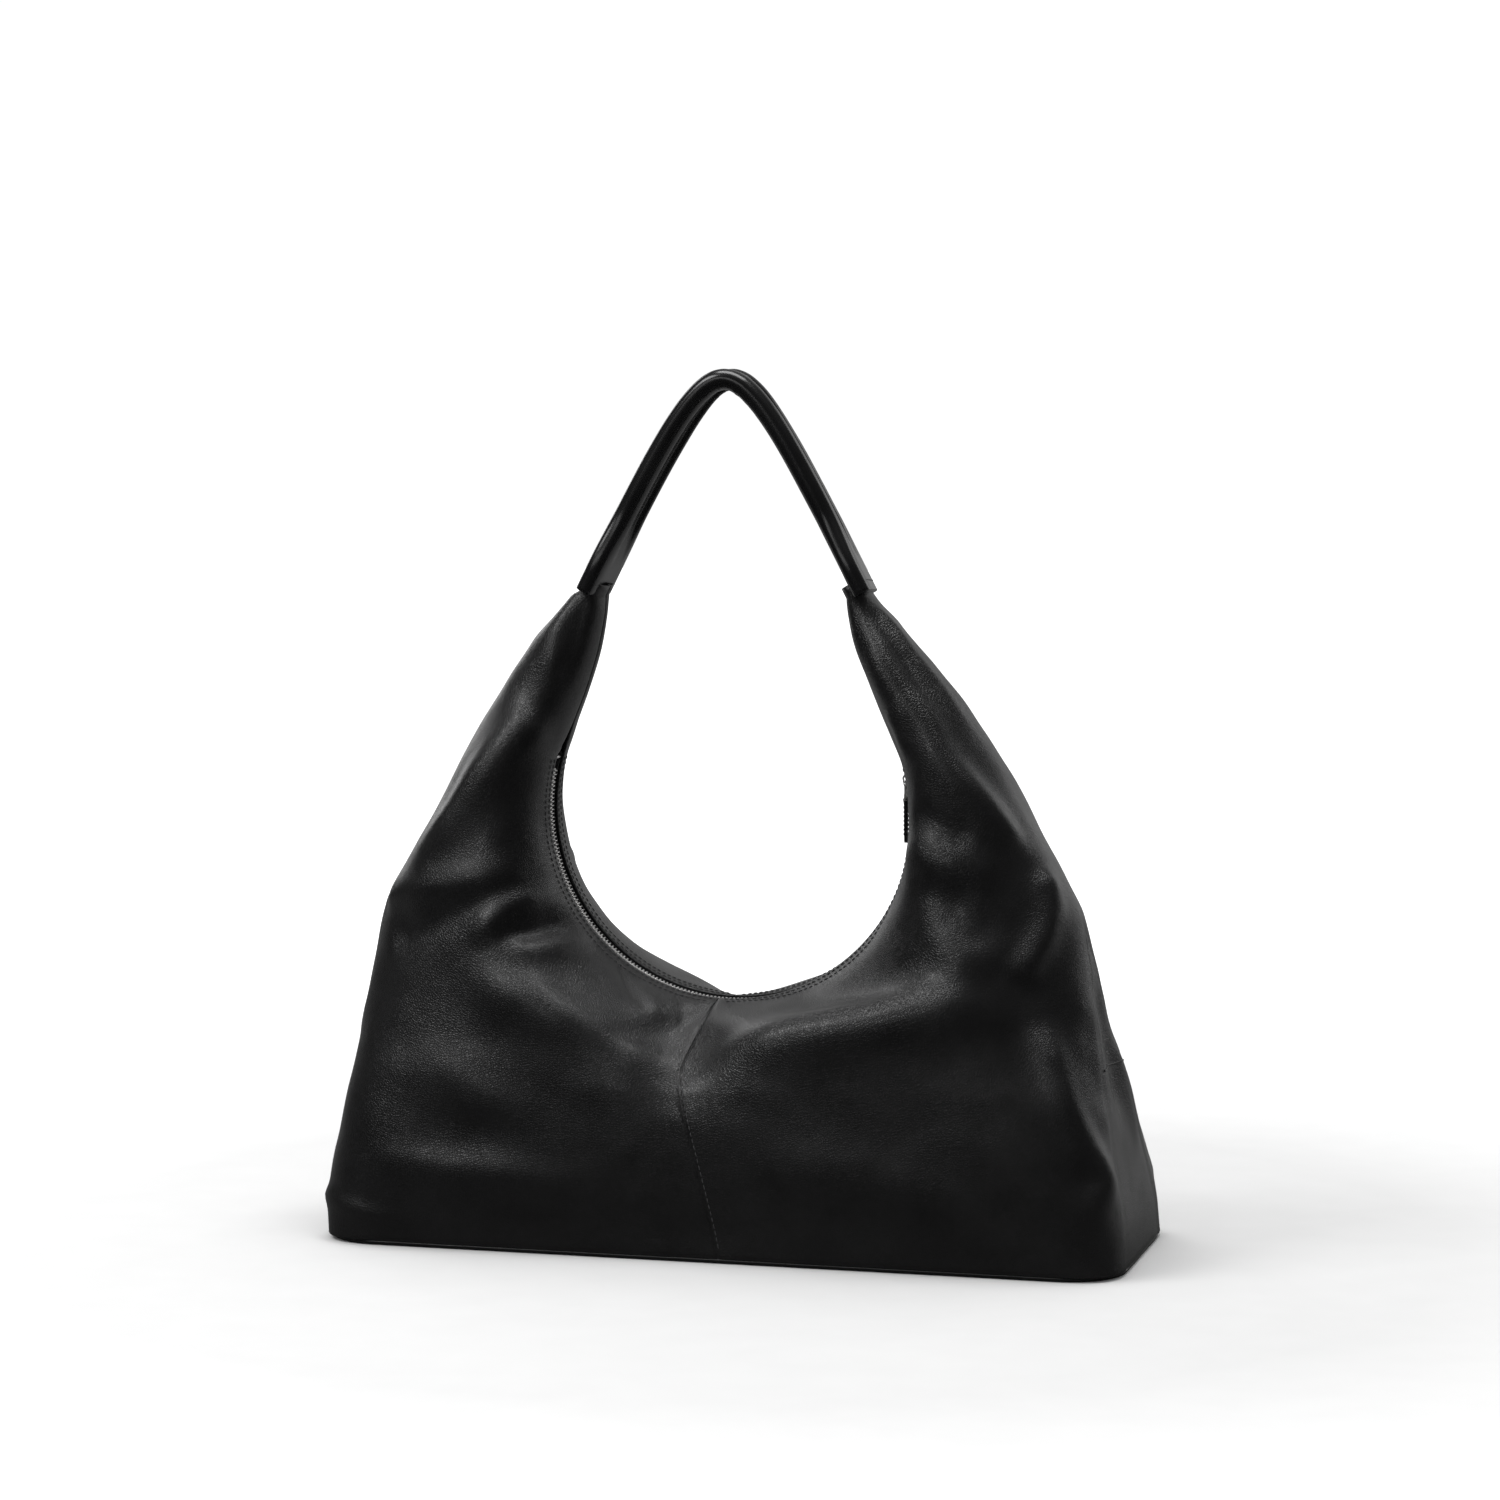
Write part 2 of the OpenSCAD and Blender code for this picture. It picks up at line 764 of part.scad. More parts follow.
front_panel_left();
front_panel_right();
back_panel_left();
back_panel_right();
side_gusset_left();
side_gusset_right();
base_panel();
base_piping();
base_board();
lining_front();
lining_back();
lining_side_left();
lining_side_right();
lining_base();
inner_pocket();
zip_tape_front();
zip_tape_back();
zip_teeth_front();
zip_teeth_back();
zip_top_stops();
zip_bottom_stop();
slider_body();
puller();
leather_pull();
strap_foot_left();
strap_foot_right();
strap_cover();
strap_backing();
strap_core_front();
strap_core_back();
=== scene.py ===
import math

import bpy
import numpy as np
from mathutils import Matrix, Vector, noise


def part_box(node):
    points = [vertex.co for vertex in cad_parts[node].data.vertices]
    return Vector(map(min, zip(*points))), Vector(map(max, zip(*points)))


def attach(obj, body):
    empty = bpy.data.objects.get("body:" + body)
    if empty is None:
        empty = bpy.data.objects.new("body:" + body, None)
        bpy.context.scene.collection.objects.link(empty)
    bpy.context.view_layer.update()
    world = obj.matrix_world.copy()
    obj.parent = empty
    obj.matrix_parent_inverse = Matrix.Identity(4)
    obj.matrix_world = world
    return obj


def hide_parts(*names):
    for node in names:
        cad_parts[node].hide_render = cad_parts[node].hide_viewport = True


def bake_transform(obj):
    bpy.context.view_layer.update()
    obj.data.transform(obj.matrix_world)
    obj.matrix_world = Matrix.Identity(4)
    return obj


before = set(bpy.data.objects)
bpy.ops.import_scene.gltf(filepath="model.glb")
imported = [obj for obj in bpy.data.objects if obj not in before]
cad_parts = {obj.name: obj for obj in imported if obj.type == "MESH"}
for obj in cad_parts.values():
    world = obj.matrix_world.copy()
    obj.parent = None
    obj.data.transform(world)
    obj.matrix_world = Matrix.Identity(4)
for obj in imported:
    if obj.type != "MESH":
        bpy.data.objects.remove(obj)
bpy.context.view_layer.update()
MM = 0.001

# ---------------------------------------------------------------- sizes, in millimetres
HORN = 384.0
HALF_LENGTH = 238.0
HALF_DEPTH = 85.0
LEAN = -10.0
CREASE = 108.0
FOOT = 3.2
MOUTH_R = 112.0
MOUTH_Z = 252.0
ZIP_END = 17.0
CHAIN_END = 12.0
PITCH_COUNT = 169
LIP_Y = 7.0
LIP_R = 109.75
SHELF_RUN, WIDE_RUN = 62.0, 90.0
TIP_INNER = 72.0
BACK_LIFT = 12.0
TIP_FALL, TIP_RISE = 6.1, 0.7
SEAM_DRIFT = (7.0, -17.0)
SEAM_TURN = 3.0
LENGTH = [
    (0, 1), (0.065, 0.999), (0.17, 0.973), (0.28, 0.945), (0.39, 0.919), (0.47, 0.897),
    (0.52, 0.874), (0.65, 0.762), (0.755, 0.671), (0.85, 0.569), (0.945, 0.441), (1, 0.365),
]
DEPTH = [
    (0, 1), (0.15, 1.03), (0.28, 0.96), (0.42, 0.85), (0.55, 0.71), (0.68, 0.56),
    (0.8, 0.4), (0.92, 0.26), (1, 0.19),
]
GUSSET = [(0, 0.62), (0.14, 0.54), (0.26, 0.4), (0.36, 0.22), (0.44, 0.08), (0.5, 0)]
SEAM = [(0, 1), (0.12, 1.005), (0.2, 0.985), (0.25, 0.91), (0.28, 0.8)]
CORNER = [(0, 34), (0.28, 75), (0.5, 95), (0.75, 60), (1, 12)]
SEAM_ROWS, SHELF_ROWS, MOUTH_ROWS, HORN_ROWS = 8, 3, 13, 6
SHELF_TOP = SEAM_ROWS + SHELF_ROWS
MOUTH_TOP = SHELF_TOP + MOUTH_ROWS
ROWS = MOUTH_TOP + HORN_ROWS
# Height of the outer edge at the foot and at the end of each group of rows
OUTER_Z = (FOOT, CREASE + 6, 140.0, 312.0, HORN + TIP_RISE)
FRONT, BACK = -1, 1
LEFT, RIGHT = -1, 1
# How far the front slumps at each row, and how far the outline leaves the plain one by height
SAG = {
    LEFT: [(8, 0), (9.5, 9), (11, 16), (13, 13), (15, 17), (17, 20), (20, 12), (24, 0), (30, 0)],
    RIGHT: [(8, 0), (11, 3), (13, 16), (15, 28), (17, 32), (20, 20), (24, 0), (30, 0)],
}
OUTLINE_SHIFT = {
    LEFT: [(0, 0), (118, 0), (190, -3.2), (240, -0.4), (290, 0), (330, -2), (358, -5),
           (384, -2.5)],
    RIGHT: [(0, 1), (60, 0.5), (142, -0.5), (178, -2.2), (215, -0.8), (259, 0.5), (300, -1),
            (350, -2), (384, -1)],
}
LEATHER, CLOTH, LINING_INSET = 1.4, 0.5, 2.6
SEAM_DIP, SEAM_WIDTH, SIDE_SEAM_WIDTH = 0.55, 1.3, 1.6


def curve(points, x):
    p = np.array(points, float)
    x = np.asarray(x, float)
    n = len(p)
    low = np.maximum(0, np.arange(n) - 1)
    high = np.minimum(n - 1, np.arange(n) + 1)
    slope = (p[high, 1] - p[low, 1]) / (p[high, 0] - p[low, 0])
    i = np.clip(np.searchsorted(p[:, 0], x, side="right") - 1, 0, n - 2)
    h = p[i + 1, 0] - p[i, 0]
    t = np.clip((x - p[i, 0]) / h, 0, 1)
    return (
        p[i, 1] * (2 * t**3 - 3 * t**2 + 1)
        + slope[i] * h * (t**3 - 2 * t**2 + t)
        + p[i + 1, 1] * (3 * t**2 - 2 * t**3)
        + slope[i + 1] * h * (t**3 - t**2)
    )


def mix(a, b, t):
    return a + (b - a) * t


def unit(v):
    v = np.asarray(v, float)
    return v / np.maximum(np.linalg.norm(v, axis=-1, keepdims=True), 1e-9)


def smooth(a, b, x):
    t = np.clip((np.asarray(x, float) - a) / (b - a), 0, 1)
    return t * t * (3 - 2 * t)


def lean(z):
    return LEAN * (np.maximum(0, z) / HORN) ** 0.6


def half_length_at(z):
    return HALF_LENGTH * curve(LENGTH, z / HORN)


def depth_at(z):
    return HALF_DEPTH * curve(DEPTH, z / HORN)


def gusset_at(z):
    return np.maximum(0.2, HALF_DEPTH * curve(GUSSET, z / HORN))


def seam_depth_at(z):
    return HALF_DEPTH * curve(SEAM, z / HORN)


# ---------------------------------------------------------------- the slouched body surface
def row_start(v, drift):
    """Inner edge of each row: x, depth, height, and height of its outer edge."""
    v = np.asarray(v, float)
    t = np.clip(v / SEAM_ROWS, 0, 1)
    seam = (
        drift * mix(*SEAM_DRIFT, t**1.3), seam_depth_at(mix(FOOT, CREASE, t)),
        mix(FOOT, CREASE, t), mix(*OUTER_Z[:2], t),
    )
    t = np.clip((v - SEAM_ROWS) / SHELF_ROWS, 0, 1)
    turn = math.radians(SEAM_TURN)
    shelf = (
        drift * mix(SEAM_DRIFT[1], -LIP_R * math.sin(turn), t),
        mix(seam_depth_at(CREASE), LIP_Y, t),
        mix(CREASE, MOUTH_Z - LIP_R * math.cos(drift * turn), t**0.8),
        mix(*OUTER_Z[1:3], t),
    )
    t = np.clip((v - SHELF_TOP) / MOUTH_ROWS, 0, 1)
    a = np.radians(mix(-90 - drift * SEAM_TURN, ZIP_END, t))
    mouth = (
        LIP_R * np.cos(a), LIP_Y + 0 * a, MOUTH_Z + LIP_R * np.sin(a), mix(*OUTER_Z[2:4], t)
    )
    t = np.clip((v - MOUTH_TOP) / HORN_ROWS, 0, 1)
    end = math.radians(ZIP_END)
    horn = (
        mix(TIP_INNER, LIP_R * math.cos(end), (1 - t) ** 1.4),
        mix(LIP_Y, 0.4, np.clip(t * 5, 0, 1) ** 0.7),
        mix(MOUTH_Z + LIP_R * math.sin(end), HORN - TIP_FALL, t), mix(*OUTER_Z[3:], t),
    )
    pick = (v > SEAM_ROWS).astype(int) + (v > SHELF_TOP) + (v > MOUTH_TOP)
    return [np.choose(pick, [seam[k], shelf[k], mouth[k], horn[k]]) for k in range(4)]


def surface(side, face, v, s):
    """The plain slouched shape: v runs up the rows, s from the inner edge to the outer one."""
    v, s = np.broadcast_arrays(np.asarray(v, float), np.asarray(s, float))
    x0, y0, z0, outer = row_start(v, side if face == FRONT else 0)
    reach = half_length_at(outer) - x0
    z = mix(z0, outer, s)
    # The shelf is wider and flatter where the front slumps to the right of the knot.
    wide = smooth(10, 13, v) * smooth(20.5, 16.5, v) if (face, side) == (FRONT, RIGHT) else 0 * v
    run_in = np.minimum(mix(SHELF_RUN, WIDE_RUN, wide), mix(0.48, 0.6, wide) * reach)
    run_out = np.minimum(curve(CORNER, outer / HORN), 0.5 * reach)
    a = np.minimum(1, s * reach / run_in)
    b = np.clip(1 - (1 - s) * reach / run_out, 0, 1)
    hard = np.sqrt(np.maximum(0, 1 - (1 - a) ** 2))
    sharp = smooth(9.5, 13.5, v) if (face, side) == (FRONT, LEFT) else smooth(8.6, 12, v)
    ramp = mix(mix(smooth(0, 1, a), hard, sharp), 1 - (1 - a) ** 1.35, 0.75 * wide)
    roundness = mix(2.6, 2, np.minimum(1, v / SEAM_ROWS))
    fall = (1 - b**roundness) ** (1 / roundness)
    full = mix(y0, depth_at(z), ramp)
    g = gusset_at(outer)
    depth = g + (full - g) * fall
    above = np.maximum(0, v - SEAM_ROWS) / (SHELF_ROWS + MOUTH_ROWS)
    if face == BACK:
        z = z + BACK_LIFT * np.sin(np.pi * np.minimum(1, above)) * a * (1 - s)
    else:
        z = z - curve(SAG[side], v) * ramp * (1 - s) ** 1.5
    round_mouth = np.clip((v - SEAM_ROWS) / SHELF_ROWS, 0, 1) * smooth(25.5, 24, v)
    middle = mix(lean(z), lean(MOUTH_Z), round_mouth * (1 - a))
    return np.stack([middle + side * (x0 + reach * s), face * depth, z], -1)


# Rows and columns of the fine grid; a side runs front seam, front, gusset, back, back seam.
ROW_V = np.concatenate([
    np.linspace(0, SEAM_ROWS, 40, endpoint=False),
    np.linspace(SEAM_ROWS, SHELF_TOP, 24, endpoint=False),
    np.linspace(SHELF_TOP, MOUTH_TOP, 78, endpoint=False), np.linspace(MOUTH_TOP, ROWS, 40),
])
FRONT_COLUMNS, BACK_COLUMNS, GUSSET_COLUMNS = 104, 80, 12
GUSSET_END = FRONT_COLUMNS + GUSSET_COLUMNS


def cosine(n):
    return (1 - np.cos(np.pi * np.linspace(0, 1, n))) / 2


def side_grid(side):
    v = ROW_V[:, None]
    front = surface(side, FRONT, v, cosine(FRONT_COLUMNS)[None, :])
    back = surface(side, BACK, v, cosine(BACK_COLUMNS)[None, ::-1])
    t = np.linspace(0, 1, GUSSET_COLUMNS + 2)[None, 1:-1, None]
    gusset = mix(front[:, -1:, :], back[:, :1, :], t)
    return np.concatenate([front, gusset, back], 1)


def grid_normals(points, side):
    along = np.gradient(points, axis=1)
    up = np.gradient(points, axis=0)
    n = unit(np.cross(along, up) * side)
    for _ in range(2):
        n[1:-1] = (n[:-2] + 2 * n[1:-1] + n[2:]) / 4
        n[:, 1:-1] = (n[:, :-2] + 2 * n[:, 1:-1] + n[:, 2:]) / 4
        n = unit(n)
    return n


# Folds: (height, width to the left of the line, width to its right, taper at start and end,
# points on the outside of the leather). Left and right are as seen from outside.
FRONT_FOLDS = [
    # left horn
    (2.6, 6, 10, 0.1, 0.4, [(-98, -9, 382), (-107, -16, 362), (-110, -24, 345), (-112, -29, 320)]),
    (6.5, 13, 12, 0.15, 0.35, [(-114, -30, 318), (-122, -33, 306), (-138, -38, 285),
     (-155, -42, 262), (-172, -40, 240), (-194, -20, 208)]),
    (-1.6, 5, 7, 0.1, 0.5, [(-90, -14, 384), (-96, -22, 362), (-98, -26, 338), (-102, -30, 315)]),
    # left shoulder
    (4.2, 13, 9, 0.12, 0.3, [(-200, -16, 190), (-184, -40, 202), (-152, -58, 213),
     (-131, -55, 218), (-116, -37, 219)]),
    (-3.6, 11, 11, 0.2, 0.4, [(-200, -30, 172), (-176, -56, 185), (-152, -62, 197),
     (-132, -58, 207)]),
    (4.2, 8, 9, 0.3, 0.45, [(-145, -68, 172), (-140, -66, 188), (-129, -60, 199), (-117, -51, 203),
     (-103, -23, 203)]),
    (-3.8, 8, 8, 0.3, 0.45, [(-134, -68, 176), (-122, -64, 185), (-109, -56, 189),
     (-95, -14, 190)]),
    (1.8, 8, 9, 0.3, 0.45, [(-136, -69, 171), (-119, -67, 178), (-101, -55, 180),
     (-86, -14, 178)]),
    # crease from the left shoulder down to the knot on the seam
    (6, 13, 18, 0.3, 0.22, [(-160, -70, 158), (-122, -74, 150), (-84, -77, 137), (-48, -76, 122),
     (-20, -70, 112)]),
    (-1.2, 4, 4, 0.3, 0.3, [(-74, -12, 166), (-60, -34, 152), (-44, -50, 140)]),
    (1.0, 4, 4, 0.3, 0.3, [(-60, -12, 157), (-46, -34, 145), (-34, -48, 134)]),
    (-0.9, 3, 3, 0.3, 0.3, [(-40, -12, 148), (-30, -30, 140), (-24, -48, 129)]),
    # crease from the knot to the right shoulder
    (7.5, 16, 20, 0.28, 0.25, [(-18, -70, 113), (0, -74, 121), (24, -76, 132), (54, -78, 142),
     (90, -77, 148), (134, -72, 150), (158, -62, 153), (174, -50, 163)]),
    (2.2, 16, 16, 0.3, 0.3, [(82, -50, 176), (110, -62, 184), (142, -62, 180), (164, -54, 168)]),
    (1.8, 11, 11, 0.35, 0.35, [(110, -52, 208), (128, -62, 194), (146, -62, 178),
     (163, -58, 162)]),
    (-3.0, 13, 13, 0.35, 0.35, [(124, -52, 212), (146, -56, 198), (164, -50, 182)]),
    (2.2, 13, 11, 0.2, 0.3, [(104, -25, 239), (118, -44, 231), (142, -52, 226), (170, -32, 230)]),
    (-1.8, 12, 12, 0.3, 0.3, [(106, -34, 221), (128, -52, 215), (152, -50, 212)]),
    (-3, 9, 9, 0.3, 0.3, [(112, -34, 262), (130, -46, 250), (150, -44, 243)]),
    # right horn
    (6.0, 10, 12, 0.2, 0.15, [(76, -18, 375), (84, -22, 352), (93, -26, 335), (104, -30, 321),
     (115, -33, 308), (124, -37, 293), (138, -39, 277), (158, -36, 254), (175, -26, 229)]),
    (-2.0, 6, 6, 0.15, 0.5, [(80, -14, 378), (92, -18, 354), (104, -22, 338), (120, -26, 318)]),
    (1.6, 6, 6, 0.15, 0.4, [(82, -10, 377), (93, -8, 366), (103, -12, 352), (122, -14, 330),
     (146, -16, 298)]),
    (-1.4, 5, 5, 0.1, 0.5, [(70, -15, 383), (73, -22, 362), (79, -27, 342), (86, -30, 322)]),
    (2.2, 6, 6, 0.3, 0.4, [(90, -32, 318), (98, -36, 300), (102, -38, 282)]),
    # right corner
    (5.5, 10, 10, 0.2, 0.2, [(175, -24, 229), (182, -22, 212), (184, -32, 193), (179, -46, 174),
     (174, -54, 161)]),
    (6.0, 11, 10, 0.2, 0.3, [(182, -56, 144), (192, -58, 122), (202, -64, 94), (211, -64, 72),
     (219, -62, 54), (220, -70, 38), (226, -72, 16)]),
    (-2.4, 12, 12, 0.3, 0.3, [(206, -30, 150), (214, -40, 118), (222, -44, 84)]),
    # broad soft folds of the front's lower part
    (2.8, 13, 15, 0.4, 0.4, [(-176, -72, 122), (-158, -78, 104), (-132, -82, 88), (-96, -84, 80)]),
    (3.4, 10, 17, 0.3, 0.5, [(-212, -74, 50), (-172, -82, 50), (-122, -85, 47), (-50, -85, 44)]),
    (-1.6, 12, 12, 0.4, 0.4, [(-200, -74, 80), (-160, -82, 74), (-100, -85, 66)]),
    (2.2, 5, 6, 0.3, 0.4, [(-236, -40, 22), (-228, -66, 24), (-205, -80, 20), (-180, -84, 16)]),
    (-1.2, 16, 16, 0.4, 0.4, [(30, -82, 96), (80, -84, 84), (140, -82, 76)]),
    (1.6, 16, 18, 0.4, 0.4, [(30, -85, 58), (100, -86, 50), (170, -82, 46)]),
]
BACK_FOLDS = [
    (5, 9, 9, 0.1, 0.1, [(-96, 14, 380), (-106, 22, 352), (-118, 30, 320), (-138, 38, 284),
     (-162, 40, 250), (-188, 24, 215)]),
    (-3, 6, 6, 0.1, 0.4, [(-88, 14, 382), (-94, 24, 352), (-100, 30, 322)]),
    (4, 9, 9, 0.1, 0.1, [(78, 14, 380), (90, 22, 350), (106, 30, 318), (128, 38, 284),
     (152, 40, 250), (176, 26, 218)]),
    (-3, 6, 6, 0.1, 0.4, [(68, 14, 382), (76, 24, 352), (86, 32, 320)]),
    (5, 12, 20, 0.3, 0.3, [(-4, 64, 112), (-34, 74, 126), (-70, 76, 142), (-112, 72, 152),
     (-150, 64, 160)]),
    (5, 20, 12, 0.3, 0.3, [(4, 64, 112), (30, 74, 124), (66, 76, 138), (108, 72, 152),
     (152, 62, 164)]),
    (5, 8, 8, 0.2, 0.2, [(-196, 26, 190), (-168, 52, 204), (-138, 54, 214), (-116, 36, 218)]),
    (-4.5, 8, 8, 0.2, 0.3, [(-190, 40, 172), (-162, 60, 186), (-134, 60, 196)]),
    (4.5, 8, 8, 0.2, 0.3, [(188, 28, 196), (160, 54, 200), (130, 58, 196), (104, 40, 198)]),
    (-4, 8, 8, 0.2, 0.3, [(182, 44, 178), (154, 60, 184), (128, 62, 180)]),
    (3, 14, 14, 0.4, 0.4, [(-190, 76, 70), (-140, 84, 60), (-70, 86, 56)]),
    (3, 14, 14, 0.4, 0.4, [(196, 74, 96), (150, 82, 80), (84, 86, 66)]),
    (4, 9, 9, 0.3, 0.1, [(-190, 54, 150), (-204, 60, 110), (-214, 66, 70), (-224, 70, 26)]),
    (4, 9, 9, 0.3, 0.1, [(186, 52, 150), (200, 60, 112), (212, 66, 70), (224, 70, 24)]),
]
SIDE_FOLDS = [
    (-3.5, 12, 12, 0.3, 0.3, [(-214, 2, 168), (-223, 0, 120), (-231, -2, 70)]),
    (-3.5, 12, 12, 0.3, 0.3, [(206, 0, 168), (216, 2, 120), (226, 0, 70)]),
    (2.5, 8, 8, 0.3, 0.3, [(-220, -26, 140), (-229, -24, 96), (-236, -30, 50)]),
    (2.5, 8, 8, 0.3, 0.3, [(212, 24, 140), (221, 26, 96), (230, 30, 50)]),
]


def catmull(points, steps=7):
    p = np.array([points[0]] + list(points) + [points[-1]], float)
    t = np.linspace(0, 1, steps, endpoint=False)[:, None]
    parts = [
        0.5 * (
            2 * p[i] + (p[i + 1] - p[i - 1]) * t
            + (2 * p[i - 1] - 5 * p[i] + 4 * p[i + 1] - p[i + 2]) * t**2
            + (3 * p[i] - p[i - 1] - 3 * p[i + 1] + p[i + 2]) * t**3
        )
        for i in range(1, len(p) - 2)
    ]
    return np.concatenate(parts + [p[-1:]])


def fold_field(points, normals, fold, cloud, out):
    """Adds one fold's height at every point to out; its line is drawn on the cloud's points."""
    height, left_width, right_width, taper_in, taper_out, line = fold
    flat = points.reshape(-1, 3)
    snapped = [cloud[np.argmin(((cloud - np.array(p)) ** 2).sum(1))] for p in line]
    path = catmull(snapped)
    reach = 3.0 * max(left_width, right_width)
    inside = np.all((flat > path.min(0) - reach) & (flat < path.max(0) + reach), axis=1)
    index = np.nonzero(inside)[0]
    q = flat[index]
    n = normals.reshape(-1, 3)[index]
    best = np.full(len(q), 1e9)
    along = np.zeros(len(q))
    signed = np.zeros(len(q))
    lengths = np.linalg.norm(np.diff(path, axis=0), axis=1)
    total = lengths.sum()
    done = 0.0
    for a, b, length in zip(path[:-1], path[1:], lengths):
        if length < 1e-6:
            continue
        d = (b - a) / length
        t = np.clip((q - a) @ d, 0, length)
        away = q - (a + t[:, None] * d)
        distance = np.linalg.norm(away, axis=1)
        closer = distance < best
        best = np.where(closer, distance, best)
        along = np.where(closer, (done + t) / total, along)
        across = (np.cross(n, d) * away).sum(1)
        signed = np.where(closer, across, signed)
        done += length
    width = np.where(signed > 0, left_width, right_width)
    shape = np.exp(-((best / width) ** 2))
    fade = 1.0
    if taper_in > 0:
        fade = fade * smooth(0, 1, along / taper_in)
    if taper_out > 0:
        fade = fade * smooth(0, 1, (1 - along) / taper_out)
    out.reshape(-1)[index] += height * shape * fade


def undulation(points, scale, seed):
    """Slow random swell of the leather, in -1 to 1."""
    flat = points.reshape(-1, 3) / scale
    offset = Vector((seed, 3.7 * seed, 1.3 * seed))
    values = [noise.noise(Vector(p) + offset) for p in flat]
    return np.array(values).reshape(points.shape[:-1])


RELAX_STEPS = 260


def relax_share(points):
    """How freely each point may move: edges at the mouth, horns and lower body stay."""
    v = ROW_V[:, None]
    steps = np.linalg.norm(np.diff(points, axis=1), axis=-1)
    run = np.concatenate([np.zeros((len(points), 1)), np.cumsum(steps, 1)], 1)
    edge = np.minimum(run, run[:, -1:] - run)
    upper = smooth(7.0, 9.5, v) * smooth(22.5, 18.0, v)
    side = smooth(20, 60, np.abs(run - run[:, FRONT_COLUMNS:FRONT_COLUMNS + 1]))
    by_seam = mix(0.12, 1, smooth(2, 40, edge))
    by_lip = smooth(2, 26, edge)
    return 0.5 * upper * side * mix(by_seam, by_lip, smooth(9.8, SHELF_TOP, v))


def relaxed(grids):
    """Rounds the shelf's edge over as soft leather does, across the middle seams too."""
    share = {side: relax_share(grids[side])[..., None] for side in grids}
    out = {side: grids[side].copy() for side in grids}
    seam = np.nonzero(ROW_V < SHELF_TOP - 0.1)[0][1:]
    for _ in range(RELAX_STEPS):
        for g, m in ((out[side], share[side]) for side in out):
            near = (g[:-2, 1:-1] + g[2:, 1:-1] + g[1:-1, :-2] + g[1:-1, 2:]) / 4
            g[1:-1, 1:-1] += m[1:-1, 1:-1] * (near - g[1:-1, 1:-1])
        for column, beside in ((0, 1), (-1, -2)):
            line = out[LEFT][:, column]
            near = (line[seam - 1] + line[seam + 1] + out[LEFT][seam, beside]
                    + out[RIGHT][seam, beside]) / 4
            moved = line[seam] + share[LEFT][seam, column] * (near - line[seam])
            for side in out:
                out[side][seam, column] = moved
    return out


def outlined(base, side):
    """Moves the silhouette a little in or out, height by height."""
    z = base[..., 2]
    outward = np.clip(side * (base[..., 0] - lean(z)) / half_length_at(z), 0, 1)
    base[..., 0] += curve(OUTLINE_SHIFT[side], z) * smooth(0.55, 1, outward)
    return base


def shaped_side(side, base, cloud):
    """Adds the folds, the slow swell and the sewn seams to one side of the leather."""
    z = base[..., 2]
    normals = grid_normals(base, side)
    height = np.zeros(base.shape[:-1])
    for folds, face in ((FRONT_FOLDS, FRONT), (BACK_FOLDS, BACK), (SIDE_FOLDS, 0)):
        for fold in folds:
            if any(side * p[0] > -45 for p in fold[5]):
                field = np.zeros_like(height)
                fold_field(base, normals, fold, cloud, field)
                if face:
                    field *= smooth(-10, 8, face * base[..., 1])
                height += field
    height += 0.9 * undulation(base, 46, 2.0) + 0.45 * undulation(base, 19, 5.0)
    radial = np.hypot(base[..., 0] - lean(MOUTH_Z), base[..., 2] - MOUTH_Z)
    near_lip = (ROW_V > SEAM_ROWS + 2)[:, None] & (ROW_V < ROWS - 1)[:, None]
    keep = smooth(0.5, 16, np.where(near_lip, np.hypot(
        np.maximum(0, radial - LIP_R), np.maximum(0, np.abs(base[..., 1]) - LIP_Y)), 99))
    foot = smooth(FOOT, FOOT + 16, z)
    height *= keep * foot
    points = base + normals * height[..., None]
    # Seams: the panels dip where they are joined down the middle and up the horns.
    arc = np.cumsum(np.linalg.norm(np.diff(points, axis=1), axis=-1), axis=1)
    arc = np.concatenate([np.zeros((len(arc), 1)), arc], 1)

    def dip(column, width):
        return SEAM_DIP * np.exp(-(((arc - arc[:, column, None]) / width) ** 2))

    joined = ((ROW_V < SHELF_TOP) | (ROW_V > MOUTH_TOP + 0.3))[:, None]
    middle = np.where(joined, dip(0, SEAM_WIDTH) + dip(-1, SEAM_WIDTH), 0)
    at_side = dip(FRONT_COLUMNS - 1, SIDE_SEAM_WIDTH) + dip(GUSSET_END, SIDE_SEAM_WIDTH)
    points = points - normals * (middle + smooth(194, 186, z) * at_side)[..., None]
    # The tips of the horns narrow into the sewn ends of the strap.
    tip = smooth(352, HORN, points[..., 2])
    centre_x = side * 79.0 + lean(HORN)
    points[..., 0] = mix(points[..., 0], mix(points[..., 0], centre_x, 0.16), tip)
    points[..., 1] *= 1 - 0.04 * tip
    return points


